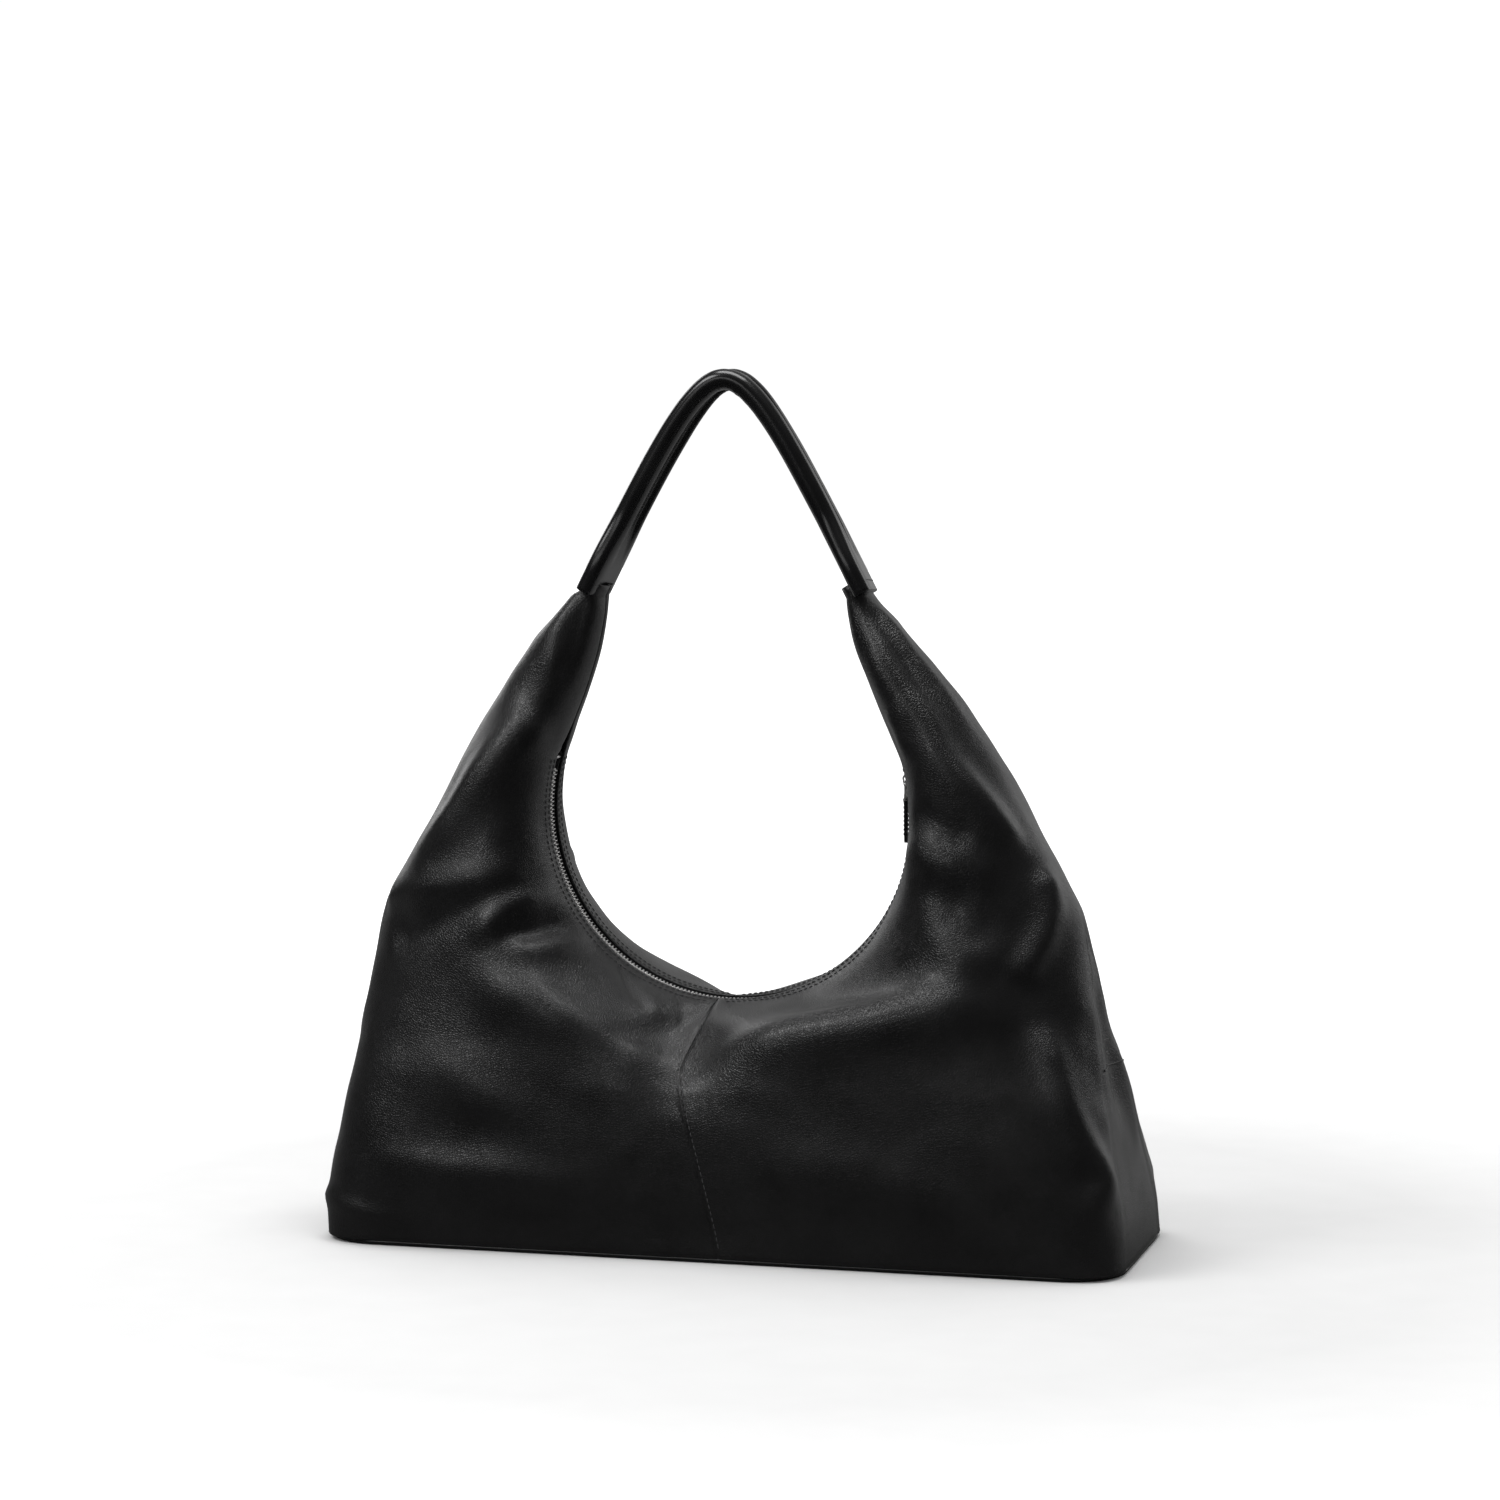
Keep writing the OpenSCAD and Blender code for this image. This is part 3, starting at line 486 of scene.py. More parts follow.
def with_edges(points, side):
    """Turns the leather under at its foot and inner edges, and carries the horn into the strap."""
    start = row_start(ROW_V, 0)
    angle = np.arctan2(start[2] - MOUTH_Z, start[0])
    radial = np.stack([side * np.cos(angle), 0 * angle, np.sin(angle)], -1)
    rolls = {}
    for face, column in ((FRONT, 0), (BACK, -1)):
        inward = np.where(
            (ROW_V < SEAM_ROWS + 0.5)[:, None], np.array([0, -face, 0.0]),
            np.where((ROW_V < SHELF_TOP)[:, None], np.array([0, -0.4 * face, -0.9]), radial),
        )
        edge = points[:, column]
        towards_zip = np.where(
            ((ROW_V >= SHELF_TOP) & (ROW_V <= MOUTH_TOP + 0.2))[:, None],
            np.array([0, -face * 0.5, 0]), 0,
        )
        rolls[face] = [
            edge + inward * 0.45 + towards_zip, edge + inward * 1.6 + towards_zip * 0.8,
        ]
    points = np.concatenate(
        [np.stack(rolls[FRONT][::-1], 1), points, np.stack(rolls[BACK], 1)], 1
    )
    under = []
    for inset, z in ((3.4, 1.9), (1.2, 2.1), (0.3, 2.6)):
        row = points[0].copy()
        row[:, 0] *= 1 - inset / HALF_LENGTH
        row[:, 1] *= 1 - inset / HALF_DEPTH
        row[:, 2] = z
        under.append(row)
    over = []
    for rise in (2.5, 5.5):
        row = points[-1].copy()
        row[:, 2] += rise
        row[:, 0] -= side * rise / 1.94
        over.append(row)
    return np.concatenate([np.stack(under), points, np.stack(over)], 0)


# ---------------------------------------------------------------- mesh helpers
def make_object(name, vertices, faces, material):
    mesh = bpy.data.meshes.new(name)
    mesh.from_pydata([tuple(np.asarray(v, float) * MM) for v in vertices], [], faces)
    mesh.validate()
    mesh.update()
    mesh.polygons.foreach_set("use_smooth", [True] * len(mesh.polygons))
    obj = bpy.data.objects.new(name, mesh)
    bpy.context.scene.collection.objects.link(obj)
    mesh.materials.append(material)
    return obj


def grid_faces(rows, columns, flip=False):
    faces = []
    for i in range(rows - 1):
        for j in range(columns - 1):
            a = i * columns + j
            b, c, d = a + 1, a + 1 + columns, a + columns
            faces.append((a, d, c, b) if flip else (a, b, c, d))
    return faces


def thicken(obj, thickness):
    """Gives a sheet its thickness, on its inner side."""
    solid = obj.modifiers.new("thickness", "SOLIDIFY")
    solid.thickness = thickness * MM
    solid.offset = -1
    return obj


def shell_object(name, outer, thickness, flip, material):
    faces = grid_faces(*outer.shape[:2], flip)
    return thicken(make_object(name, outer.reshape(-1, 3), faces, material), thickness)


class Merged:
    """Many small solids gathered into one mesh."""

    def __init__(self):
        self.vertices = []
        self.faces = []

    def add(self, vertices, faces):
        base = len(self.vertices)
        self.vertices.extend(vertices)
        self.faces.extend(tuple(base + i for i in f) for f in faces)

    def add_loft(self, rings):
        """Closed solid through rings of the same number of points."""
        n = len(rings[0])
        faces = [tuple(range(n))[::-1]] + [tuple((len(rings) - 1) * n + k for k in range(n))]
        for i in range(len(rings) - 1):
            for k in range(n):
                m = (k + 1) % n
                faces.append((i * n + k, i * n + m, (i + 1) * n + m, (i + 1) * n + k))
        self.add([p for ring in rings for p in ring], faces)

    def object(self, name, material):
        return make_object(name, self.vertices, self.faces, material)


def octagon(corner):
    """Eight directions round a block's section, its corners cut to a share of its half size."""
    return ((1, corner), (corner, 1), (-corner, 1), (-1, corner), (-1, -corner), (-corner, -1),
            (corner, -1), (1, -corner))


def tube_into(merged, path, radius, sides=8, closed=False):
    path = [np.asarray(p, float) for p in path]
    n = len(path)
    rings = []
    up = np.array([0.13, 0.21, 0.97])
    for i, p in enumerate(path):
        ahead = path[(i + 1) % n] if closed else path[min(n - 1, i + 1)]
        behind = path[i - 1] if closed else path[max(0, i - 1)]
        d = unit(ahead - behind)
        u = unit(np.cross(d, up))
        w = np.cross(u, d)
        up = w
        r = radius(i / (n - 1)) if callable(radius) else radius
        rings.append([
            p + r * (math.cos(2 * math.pi * k / sides) * u + math.sin(2 * math.pi * k / sides) * w)
            for k in range(sides)
        ])
    if closed:
        base_faces = [
            (i * sides + k, ((i + 1) % n) * sides + k,
             ((i + 1) % n) * sides + (k + 1) % sides, i * sides + (k + 1) % sides)
            for i in range(n) for k in range(sides)
        ]
        merged.add([p for ring in rings for p in ring], base_faces)
    else:
        merged.add_loft(rings)


def resample(path, pitch):
    path = np.asarray(path, float)
    lengths = np.linalg.norm(np.diff(path, axis=0), axis=1)
    run = np.concatenate([[0], np.cumsum(lengths)])
    n = max(2, int(run[-1] / pitch) + 1)
    at = np.linspace(0, run[-1], n)
    return np.stack([np.interp(at, run, path[:, k]) for k in range(path.shape[1])], 1)


def stitch_into(merged, path, normals, pitch=3.4, length=2.5, radius=0.3, lift=0.1):
    """A row of sewn stitches that dive into the leather at both ends."""
    both = resample(np.concatenate([path, normals], 1), pitch)
    for a, b in zip(both[:-1], both[1:]):
        p, n = (a[:3] + b[:3]) / 2, unit(a[3:] + b[3:])
        d = unit(b[:3] - a[:3])
        s = np.cross(n, d)
        rings = []
        for t, r, h in ((-0.5, 0.35, -0.5), (-0.3, 0.9, 0.35), (0, 1, 0.6), (0.3, 0.9, 0.35),
                        (0.5, 0.35, -0.5)):
            c = p + d * length * t + n * (lift + radius * h)
            rings.append([
                c + radius * r * (math.cos(q) * s + math.sin(q) * n)
                for q in np.arange(6) * math.pi / 3
            ])
        merged.add_loft(rings)


def edge_path(points, normals, columns, distance, rows):
    """Path at a distance from an inner edge, along chosen rows of a shaped side."""
    path, facing = [], []
    for i in rows:
        line, n = points[i, columns], normals[i, columns]
        run = np.concatenate([[0], np.cumsum(np.linalg.norm(np.diff(line, axis=0), axis=1))])
        path.append([np.interp(distance, run, line[:, k]) for k in range(3)])
        facing.append([np.interp(distance, run, n[:, k]) for k in range(3)])
    return np.array(path), np.array(facing)


# ---------------------------------------------------------------- materials
class Nodes:
    """Short way to wire the nodes of a material or of the world."""

    def __init__(self, owner, shader="Principled BSDF"):
        owner.use_nodes = True
        self.owner = owner
        self.tree = owner.node_tree
        self.shader = self.tree.nodes[shader]

    def add(self, kind, inputs=None, **settings):
        node = self.tree.nodes.new(kind)
        for key, value in settings.items():
            setattr(node, key, value)
        for key, value in (inputs or {}).items():
            if isinstance(value, bpy.types.NodeSocket):
                self.tree.links.new(value, node.inputs[key])
            else:
                node.inputs[key].default_value = value
        return node

    def set(self, **values):
        for key, value in values.items():
            socket = self.shader.inputs[key.replace("_", " ")]
            if isinstance(value, bpy.types.NodeSocket):
                self.tree.links.new(value, socket)
            else:
                socket.default_value = value

    def place(self, scale=(1, 1, 1)):
        where = self.add("ShaderNodeTexCoord").outputs["Object"]
        return self.add("ShaderNodeMapping", {"Vector": where, "Scale": scale}).outputs[0]

    def noise(self, where, scale, detail=3.0, rough=0.5):
        return self.add(
            "ShaderNodeTexNoise",
            {"Vector": where, "Scale": scale, "Detail": detail, "Roughness": rough},
        ).outputs["Fac"]

    def wave(self, where, scale, distortion, direction):
        return self.add(
            "ShaderNodeTexWave", {"Vector": where, "Scale": scale, "Distortion": distortion},
            bands_direction=direction,
        ).outputs["Fac"]

    def maths(self, operation, *values):
        return self.add(
            "ShaderNodeMath", dict(enumerate(values)), operation=operation
        ).outputs[0]

    def remap(self, value, low, high, to_low, to_high):
        return self.add(
            "ShaderNodeMapRange",
            {"Value": value, "From Min": low, "From Max": high, "To Min": to_low, "To Max": to_high},
        ).outputs[0]

    def ramp(self, value, *stops):
        node = self.add("ShaderNodeValToRGB", {"Fac": value})
        elements = node.color_ramp.elements
        while len(elements) < len(stops):
            elements.new(0.5)
        for element, (at, colour) in zip(elements, stops):
            element.position = at
            element.color = (*colour, 1)
        return node.outputs["Color"]

    def bump(self, height, strength, distance, under=None):
        inputs = {"Height": height, "Strength": strength, "Distance": distance}
        if under is not None:
            inputs["Normal"] = under
        return self.add("ShaderNodeBump", inputs).outputs[0]


def new_look(name):
    return Nodes(bpy.data.materials.new(name))


def leather_material(name, tone, rough_low, rough_high, grain, crease):
    m = new_look(name)
    where = m.place()
    cells = m.add(
        "ShaderNodeTexVoronoi", {"Vector": where, "Scale": 720.0, "Randomness": 1.0},
        feature="DISTANCE_TO_EDGE",
    ).outputs["Distance"]
    pebble = m.remap(cells, 0.0, 0.22, 0.0, 1.0)
    pores = m.noise(where, 2400.0, 2.0)
    creases = m.noise(m.place((1.0, 1.0, 2.6)), 190.0, 4.0, 0.6)
    cloudy = m.noise(where, 26.0, 3.0)
    worn = m.noise(where, 9.0, 2.0)
    dark = tuple(c * 0.8 for c in tone)
    light = tuple(c * 1.3 for c in tone)
    wrinkled = m.bump(creases, crease, 0.0009)
    grained = m.bump(pebble, grain, 0.0003, wrinkled)
    m.set(
        Base_Color=m.ramp(cloudy, (0.3, dark), (0.72, light)),
        Roughness=m.remap(m.maths("ADD", cloudy, worn), 0.7, 1.3, rough_low, rough_high),
        Normal=m.bump(pores, grain * 0.5, 0.0001, grained),
        IOR=1.5, Specular_IOR_Level=0.5, Coat_Weight=0.15, Coat_Roughness=0.28,
    )
    return m.owner


def thread_material():
    m = new_look("thread")
    where = m.place()
    twist = m.wave(where, 900.0, 1.0, "DIAGONAL")
    m.set(
        Base_Color=m.ramp(twist, (0.2, (0.022, 0.022, 0.023)), (0.9, (0.080, 0.080, 0.083))),
        Roughness=m.remap(m.noise(where, 800.0), 0.2, 0.8, 0.35, 0.6),
        Normal=m.bump(twist, 0.4, 0.0001),
    )
    return m.owner


def metal_material():
    m = new_look("nickel")
    haze = m.noise(m.place(), 260.0, 4.0)
    scratches = m.noise(m.place((1.0, 14.0, 1.0)), 420.0, 3.0)
    m.set(
        Base_Color=m.ramp(haze, (0.25, (0.80, 0.79, 0.78)), (0.8, (0.95, 0.94, 0.93))),
        Metallic=1.0,
        Roughness=m.remap(haze, 0.2, 0.8, 0.30, 0.48),
        Normal=m.bump(scratches, 0.12, 0.00006),
    )
    return m.owner


def tape_material():
    m = new_look("zip_weave")
    where = m.place()
    across = m.wave(where, 620.0, 0.6, "Y")
    weave = m.maths("MULTIPLY", across, m.wave(where, 460.0, 0.8, "DIAGONAL"))
    m.set(
        Base_Color=m.ramp(weave, (0.1, (0.006, 0.006, 0.007)), (0.8, (0.022, 0.022, 0.024))),
        Roughness=m.remap(weave, 0, 1, 0.92, 0.75),
        Normal=m.bump(weave, 0.5, 0.00025),
    )
    return m.owner


def lining_material():
    m = new_look("lining_weave")
    where = m.place()
    weave = m.maths("MAXIMUM", *(m.wave(where, 520.0, 0.5, thread_way) for thread_way in "XZ"))
    m.set(
        Base_Color=m.ramp(weave, (0.1, (0.022, 0.021, 0.021)), (0.9, (0.052, 0.050, 0.049))),
        Roughness=m.remap(m.noise(where, 60.0), 0.3, 0.7, 0.8, 0.95),
        Normal=m.bump(weave, 0.35, 0.0003),
    )
    return m.owner


def board_material():
    m = new_look("fibre_board")
    where = m.place()
    fibre = m.noise(m.place((1.0, 6.0, 1.0)), 300.0, 5.0, 0.7)
    m.set(
        Base_Color=m.ramp(fibre, (0.3, (0.06, 0.055, 0.05)), (0.75, (0.14, 0.13, 0.12))),
        Roughness=m.remap(m.noise(where, 90.0), 0.3, 0.7, 0.8, 0.95),
        Normal=m.bump(fibre, 0.3, 0.0002),
    )
    return m.owner


def filler_material():
    m = new_look("cotton_cord")
    where = m.place()
    strands = m.wave(where, 330.0, 1.5, "DIAGONAL")
    m.set(
        Base_Color=m.ramp(strands, (0.2, (0.42, 0.41, 0.38)), (0.9, (0.68, 0.67, 0.63))),
        Roughness=m.remap(m.noise(where, 200.0), 0.3, 0.7, 0.85, 0.98),
        Normal=m.bump(strands, 0.5, 0.0004),
    )
    return m.owner


body_leather = leather_material("body_leather", (0.0055, 0.0055, 0.0058), 0.29, 0.40, 0.42, 0.10)
strap_leather = leather_material(
    "strap_leather_look", (0.0045, 0.0045, 0.0048), 0.20, 0.27, 0.02, 0.006
)
thread = thread_material()
nickel = metal_material()
tape = tape_material()
lining = lining_material()
board = board_material()
filler = filler_material()


def dress(names, material):
    """Gives CAD nodes that stay in view their look."""
    for name in names:
        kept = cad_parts[name].data.materials
        kept.clear()
        kept.append(material)


# ---------------------------------------------------------------- body leather and lining
plain = relaxed({side: side_grid(side) for side in (LEFT, RIGHT)})
plain = {side: outlined(plain[side], side) for side in plain}
cloud = np.concatenate([plain[side].reshape(-1, 3) for side in plain])
shaped = {side: shaped_side(side, plain[side], cloud) for side in plain}
# Both sides share the middle seams exactly.
joined_rows = np.nonzero(ROW_V <= SHELF_TOP)[0]
for column in (0, -1):
    middle = (shaped[LEFT][joined_rows, column] + shaped[RIGHT][joined_rows, column]) / 2
    for side in (LEFT, RIGHT):
        shaped[side][joined_rows, column] = middle
shaped_normals = {side: grid_normals(shaped[side], side) for side in (LEFT, RIGHT)}

names = {LEFT: "left", RIGHT: "right"}
for side in (LEFT, RIGHT):
    word = names[side]
    outer = with_edges(shaped[side].copy(), side)
    leather = shell_object(
        "leather_" + word, outer, LEATHER, side == LEFT, body_leather
    )
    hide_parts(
        "front_panel_" + word, "back_panel_" + word, "side_gusset_" + word
    )
    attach(leather, "bag")

# Lining: follows the inside of the leather, coarser, in four pieces
lining_rows = np.nonzero((ROW_V >= 0.2) & (ROW_V <= MOUTH_TOP - 0.4))[0][::3]


def lining_points(side, rows, columns, inset):
    at = np.ix_(rows, columns)
    return shaped[side][at] - shaped_normals[side][at] * inset


front_columns = np.arange(8, FRONT_COLUMNS, 3)
gusset_columns = np.arange(FRONT_COLUMNS - 2, GUSSET_END + 3)
back_columns = np.arange(GUSSET_END + 1, GUSSET_END + BACK_COLUMNS - 7, 3)
for label, columns in (("front", front_columns), ("back", back_columns)):
    merged = Merged()
    for side in (LEFT, RIGHT):
        points = lining_points(side, lining_rows, columns, LINING_INSET)
        merged.add(
            points.reshape(-1, 3), grid_faces(*points.shape[:2], flip=side == LEFT)
        )
    cloth = thicken(merged.object("cloth_lining_" + label, lining), CLOTH)
    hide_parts("lining_" + label)
    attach(cloth, "bag")
low_rows = lining_rows[shaped[LEFT][lining_rows, FRONT_COLUMNS, 2] < 195]
for side in (LEFT, RIGHT):
    word = names[side]
    points = lining_points(side, low_rows, gusset_columns, LINING_INSET + 0.2)
    cloth = shell_object(
        "cloth_lining_side_" + word, points, CLOTH, side == LEFT, lining
    )
    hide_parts("lining_side_" + word)
    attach(cloth, "bag")

# ---------------------------------------------------------------- stitching on the body
stitches = Merged()
LIP_STITCHES, SEAM_STITCHES = (2.6, 8.2), 1.9
near_edge = slice(0, 60)
lip_rows = np.nonzero((ROW_V > SHELF_TOP + 0.15) & (ROW_V < MOUTH_TOP))[0]
seam_rows_low = np.nonzero((ROW_V > 0.2) & (ROW_V < SEAM_ROWS - 0.25))[0]
seam_rows_top = np.nonzero((ROW_V > SEAM_ROWS + 0.2) & (ROW_V < SHELF_TOP - 0.05))[0]


def both_faces(side):
    """The grid and its normals from the front's inner edge, and again from the back's."""
    grids = shaped[side], shaped_normals[side]
    return grids, tuple(grid[:, ::-1] for grid in grids)


for side in (LEFT, RIGHT):
    for distance in LIP_STITCHES:
        for grid, facing in both_faces(side):
            path, n = edge_path(grid, facing, near_edge, distance, lip_rows)
            stitch_into(stitches, path, n, radius=0.26)
for grid, facing in both_faces(RIGHT):
    for rows in (seam_rows_low, seam_rows_top):
        path, n = edge_path(grid, facing, near_edge, SEAM_STITCHES, rows)
        stitch_into(stitches, path, n, pitch=3.8, length=2.8, radius=0.3)
body_stitches = stitches.object("stitches_body", thread)
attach(body_stitches, "bag")

# Short seams across the side gussets
SIDE_SEAM_Z = 110.0
marks = Merged()
for side in (LEFT, RIGHT):
    row = int(np.argmin(np.abs(shaped[side][:, FRONT_COLUMNS + 5, 2] - SIDE_SEAM_Z)))
    columns = range(FRONT_COLUMNS, GUSSET_END)
    path = [shaped[side][row, c] + shaped_normals[side][row, c] * 0.15 for c in columns]
    tube_into(marks, resample(path, 2.0), 0.55, 6)
marks_object = marks.object("side_seams", body_leather)
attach(marks_object, "bag")

# ---------------------------------------------------------------- base: sole and piping
def rounded_outline(length, width, radius, n=14):
    points = []
    for cx, cy, a0 in (
        (length / 2 - radius, width / 2 - radius, 0),
        (-length / 2 + radius, width / 2 - radius, 90),
        (-length / 2 + radius, -width / 2 + radius, 180),
        (length / 2 - radius, -width / 2 + radius, 270),
    ):
        for a in np.radians(np.linspace(a0, a0 + 90, n)):
            points.append((cx + radius * math.cos(a), cy + radius * math.sin(a)))
    return points


BASE_X, BASE_Y, BASE_CORNER = 2 * HALF_LENGTH, 2 * HALF_DEPTH, 34.0
piping = Merged()
outline = rounded_outline(BASE_X - 2.8, BASE_Y - 2.8, BASE_CORNER - 1.4)
loop = resample([(x, y, 1.75) for x, y in outline + outline[:1]], 4.0)[:-1]
loop = [p + np.array([0, 0, 0.12 * noise.noise(Vector(p * 0.09))]) for p in loop]
tube_into(piping, loop, 1.45, 10, closed=True)
piping_object = piping.object("piping_round_base", strap_leather)
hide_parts("base_piping")
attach(piping_object, "bag")

sole = Merged()
rings = []
for inset, z in ((3.2, 1.7), (3.0, 1.1), (3.4, 0.5), (4.6, 0.2), (7.0, 0.05), (9.0, 0.3),
                 (11.0, 0.05), (30.0, 0.0), (60.0, 0.1)):
    ring = rounded_outline(BASE_X - 2 * inset, BASE_Y - 2 * inset, max(4, BASE_CORNER - inset))
    rings.append([(x, y, z) for x, y in ring])
top = [(x, y, 1.8) for x, y, _ in rings[0]]
sole.add_loft([top] + rings)
sole_object = sole.object("base_sole", body_leather)
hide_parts("base_panel")
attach(sole_object, "bag")
sole_stitches = Merged()
row = rounded_outline(BASE_X - 18, BASE_Y - 18, BASE_CORNER - 9)
path = np.array([(x, y, 0.45) for x, y in row + row[:1]])
stitch_into(sole_stitches, path, np.tile([0, 0, -1.0], (len(path), 1)), 4.0, 3.0, 0.3, -0.1)
sole_stitch_object = sole_stitches.object("stitches_sole", thread)
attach(sole_stitch_object, "bag")

# ---------------------------------------------------------------- zip
CENTRE = np.array([lean(MOUTH_Z), 0, MOUTH_Z])


def at_mouth(radius, y, degrees):
    a = math.radians(degrees)
    return CENTRE + np.array([radius * math.cos(a), y, radius * math.sin(a)])


def rounded_block(merged, radius, degrees, sections):
    """Lofts a block along Y at one place on the mouth's arc: sections are (y, width, height)."""
    a = math.radians(degrees)
    out = np.array([math.cos(a), 0, math.sin(a)])
    tangent = np.array([-math.sin(a), 0, math.cos(a)])
    rings = []
    for y, width, height in sections:
        ring = []
        for u, w in octagon(0.5):
            ring.append(
                CENTRE + out * (radius + w * height / 2) + tangent * (u * width / 2)
                + np.array([0, y, 0])
            )
        rings.append(ring)
    merged.add_loft(rings)


def on_face(face, sections):
    return [(face * y, width, height) for y, width, height in sections]


TOOTH = ((4.3, 0.7, 1.7), (3.6, 1.05, 2.3), (2.4, 1.1, 2.5), (1.2, 0.95, 2.3), (0.2, 1.12, 2.4),
         (-0.6, 1.0, 2.0), (-0.95, 0.55, 1.3))
TOP_STOP = ((3.6, 1.2, 2.0), (3.2, 1.6, 2.6), (0.6, 1.6, 2.6), (0.3, 1.2, 2.0))
BOTTOM_STOP = ((-3.4, 1.1, 2.0), (-3.0, 1.6, 2.6), (3.0, 1.6, 2.6), (3.4, 1.1, 2.0))
STOP_ANGLE = ZIP_END - 1.5
for face, word, offset in ((FRONT, "front", 0.25), (BACK, "back", 0.75)):
    teeth = Merged()
    step = (180 + 2 * CHAIN_END) / PITCH_COUNT
    for i in range(PITCH_COUNT):
        angle = -180 - CHAIN_END + (i + offset) * step
        rounded_block(teeth, MOUTH_R, angle, on_face(face, TOOTH))
    teeth_object = teeth.object("teeth_" + word, nickel)
    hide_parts("zip_teeth_" + word)
    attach(teeth_object, "bag")
    beads = Merged()
    for radius_offset in (-0.75, 0.75):
        tube_into(beads, [
            at_mouth(MOUTH_R + radius_offset, face * 4.1, d)
            for d in np.linspace(-180 - ZIP_END, ZIP_END, 150)
        ], 0.5, 6)
    bead_object = beads.object("tape_cord_" + word, tape)
    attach(bead_object, "bag")
    dress(["zip_tape_" + word], tape)

top_stops = Merged()
for face in (FRONT, BACK):
    rounded_block(top_stops, MOUTH_R, STOP_ANGLE, on_face(face, TOP_STOP))
top_stop_object = top_stops.object("stops_top", nickel)
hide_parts("zip_top_stops")
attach(top_stop_object, "bag")
bottom_stop = Merged()
rounded_block(bottom_stop, MOUTH_R, -180 - STOP_ANGLE, BOTTOM_STOP)
bottom_stop_object = bottom_stop.object("stop_bottom", nickel)
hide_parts("zip_bottom_stop")
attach(bottom_stop_object, "bag")

# Slider: two shaped wings with rolled edges and a bail, built flat and set on the arc
PARK = 11.0
WINGS = ((109.0, 110.35, 111.2), (115.0, 113.65, 112.8))
park_out = unit(at_mouth(1, 0, PARK) - CENTRE)
park_along = np.array([-park_out[2], 0, park_out[0]])


def on_slider(x, y, h):
    """x along the chain, y across it, h outwards from the arc's centre."""
    sagitta = x * x / (2 * MOUTH_R)
    return CENTRE + park_out * (h - sagitta) + park_along * x + np.array([0, y, 0])


slider = Merged()
WING = [(-5.5, 2.9), (-4.6, 3.9), (-2.2, 4.5), (0.6, 4.85), (3.2, 4.6), (4.9, 3.4), (5.5, 1.8)]
for near, far, wall_to in WINGS:
    rings = []
    for h, grow in ((near, 0.86), (mix(near, far, 0.35), 0.98), (far, 1.0)):
        outline = [(x, y * grow) for x, y in WING] + [(x, -y * grow) for x, y in WING[::-1]]
        rings.append([on_slider(x, y, h) for x, y in outline])
    slider.add_loft(rings)
    middle = mix(near, far, 0.5)
    wall = ((0, middle), (1.0, middle), (1.0, wall_to), (0.15, wall_to))
    for sign in (-1, 1):
        slider.add_loft([
            [on_slider(x, sign * (y - inset), h) for inset, h in wall] for x, y in WING[1:-1]
        ])
BAIL_THICK, BAIL_WIDE = 0.4, 1.05
bail_path = [(-3.7, 109.6), (-3.7, 107.2), (-3.2, 105.9), (-2.0, 105.4), (2.0, 105.4),
             (3.2, 105.9), (3.7, 107.2), (3.7, 109.6)]
rings = []
for k, (x, h) in enumerate(bail_path):
    d = unit(np.subtract(bail_path[min(7, k + 1)], bail_path[max(0, k - 1)])) * BAIL_THICK
    rings.append([
        on_slider(x - d[1] * u, w * BAIL_WIDE, h + d[0] * u)
        for u, w in octagon(0.6)
    ])
slider.add_loft(rings)
slider_object = slider.object("slider_wings", nickel)
bevel = slider_object.modifiers.new("edges", "BEVEL")
bevel.width = 0.12 * MM
bevel.segments = 2
bevel.limit_method = "ANGLE"
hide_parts("slider_body")
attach(slider_object, "slider")

# Pull: a pin in the bail and two arms that spread to the loop
low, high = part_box("puller")
pin = np.array([(low[0] + high[0]) / 2 / MM, 0, high[2] / MM - 0.7])
puller = Merged()
ARM_Y, LOOP_Y, PULL_LENGTH = 2.3, 3.05, 11.0
tube_into(puller, [pin + (0, y, 0) for y in np.linspace(-3.1, 3.1, 7)], 0.7, 12)
for sign in (-1, 1):
    tube_into(puller, [
        pin + (0, sign * y, z)
        for y, z in ((ARM_Y, 0.2), (ARM_Y, -2.5), (ARM_Y + 0.1, -4.6), (ARM_Y + 0.4, -6.2),
                     (LOOP_Y, -7.4), (LOOP_Y, -9.6), (LOOP_Y, -PULL_LENGTH + 0.1))
    ], 0.72, 12)
tube_into(puller, [pin + (0, y, -6.0) for y in np.linspace(-2.7, 2.7, 7)], 0.68, 12)
tube_into(puller, [pin + (0, y, -PULL_LENGTH) for y in np.linspace(-3.7, 3.7, 9)], 0.74, 12)
puller_object = puller.object("pull_link", nickel)
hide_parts("puller")
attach(puller_object, "pull")

# Leather tab: folded over the loop, sewn down its length
tab = Merged()
hinge = pin - (0, 0, PULL_LENGTH)
TAB_LENGTH, TAB_HALF = 25.0, 2.0
rings = []
for t in np.linspace(0, 1, 22):
    z = mix(1.75, -TAB_LENGTH, t)
    half_width = TAB_HALF * min(1, math.sqrt(max(0.02, 1 - max(0, (t - 0.9) / 0.1) ** 2)))
    thick = mix(1.9, 1.15, smooth(0, 0.22, t)) * (0.55 if t == 0 else 1) * mix(1, 0.9, t)
    ring = []
    for k in range(16):
        a = 2 * math.pi * k / 16
        c, s = math.cos(a), math.sin(a)
        ring.append(hinge + (
            math.copysign(abs(c) ** 0.7, c) * thick,
            math.copysign(abs(s) ** 0.55, s) * half_width, z,
        ))
    rings.append(ring)
tab.add_loft(rings)
tab_object = tab.object("pull_tab_leather", strap_leather)
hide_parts("leather_pull")
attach(tab_object, "pull_tab")
tab_thread = Merged()
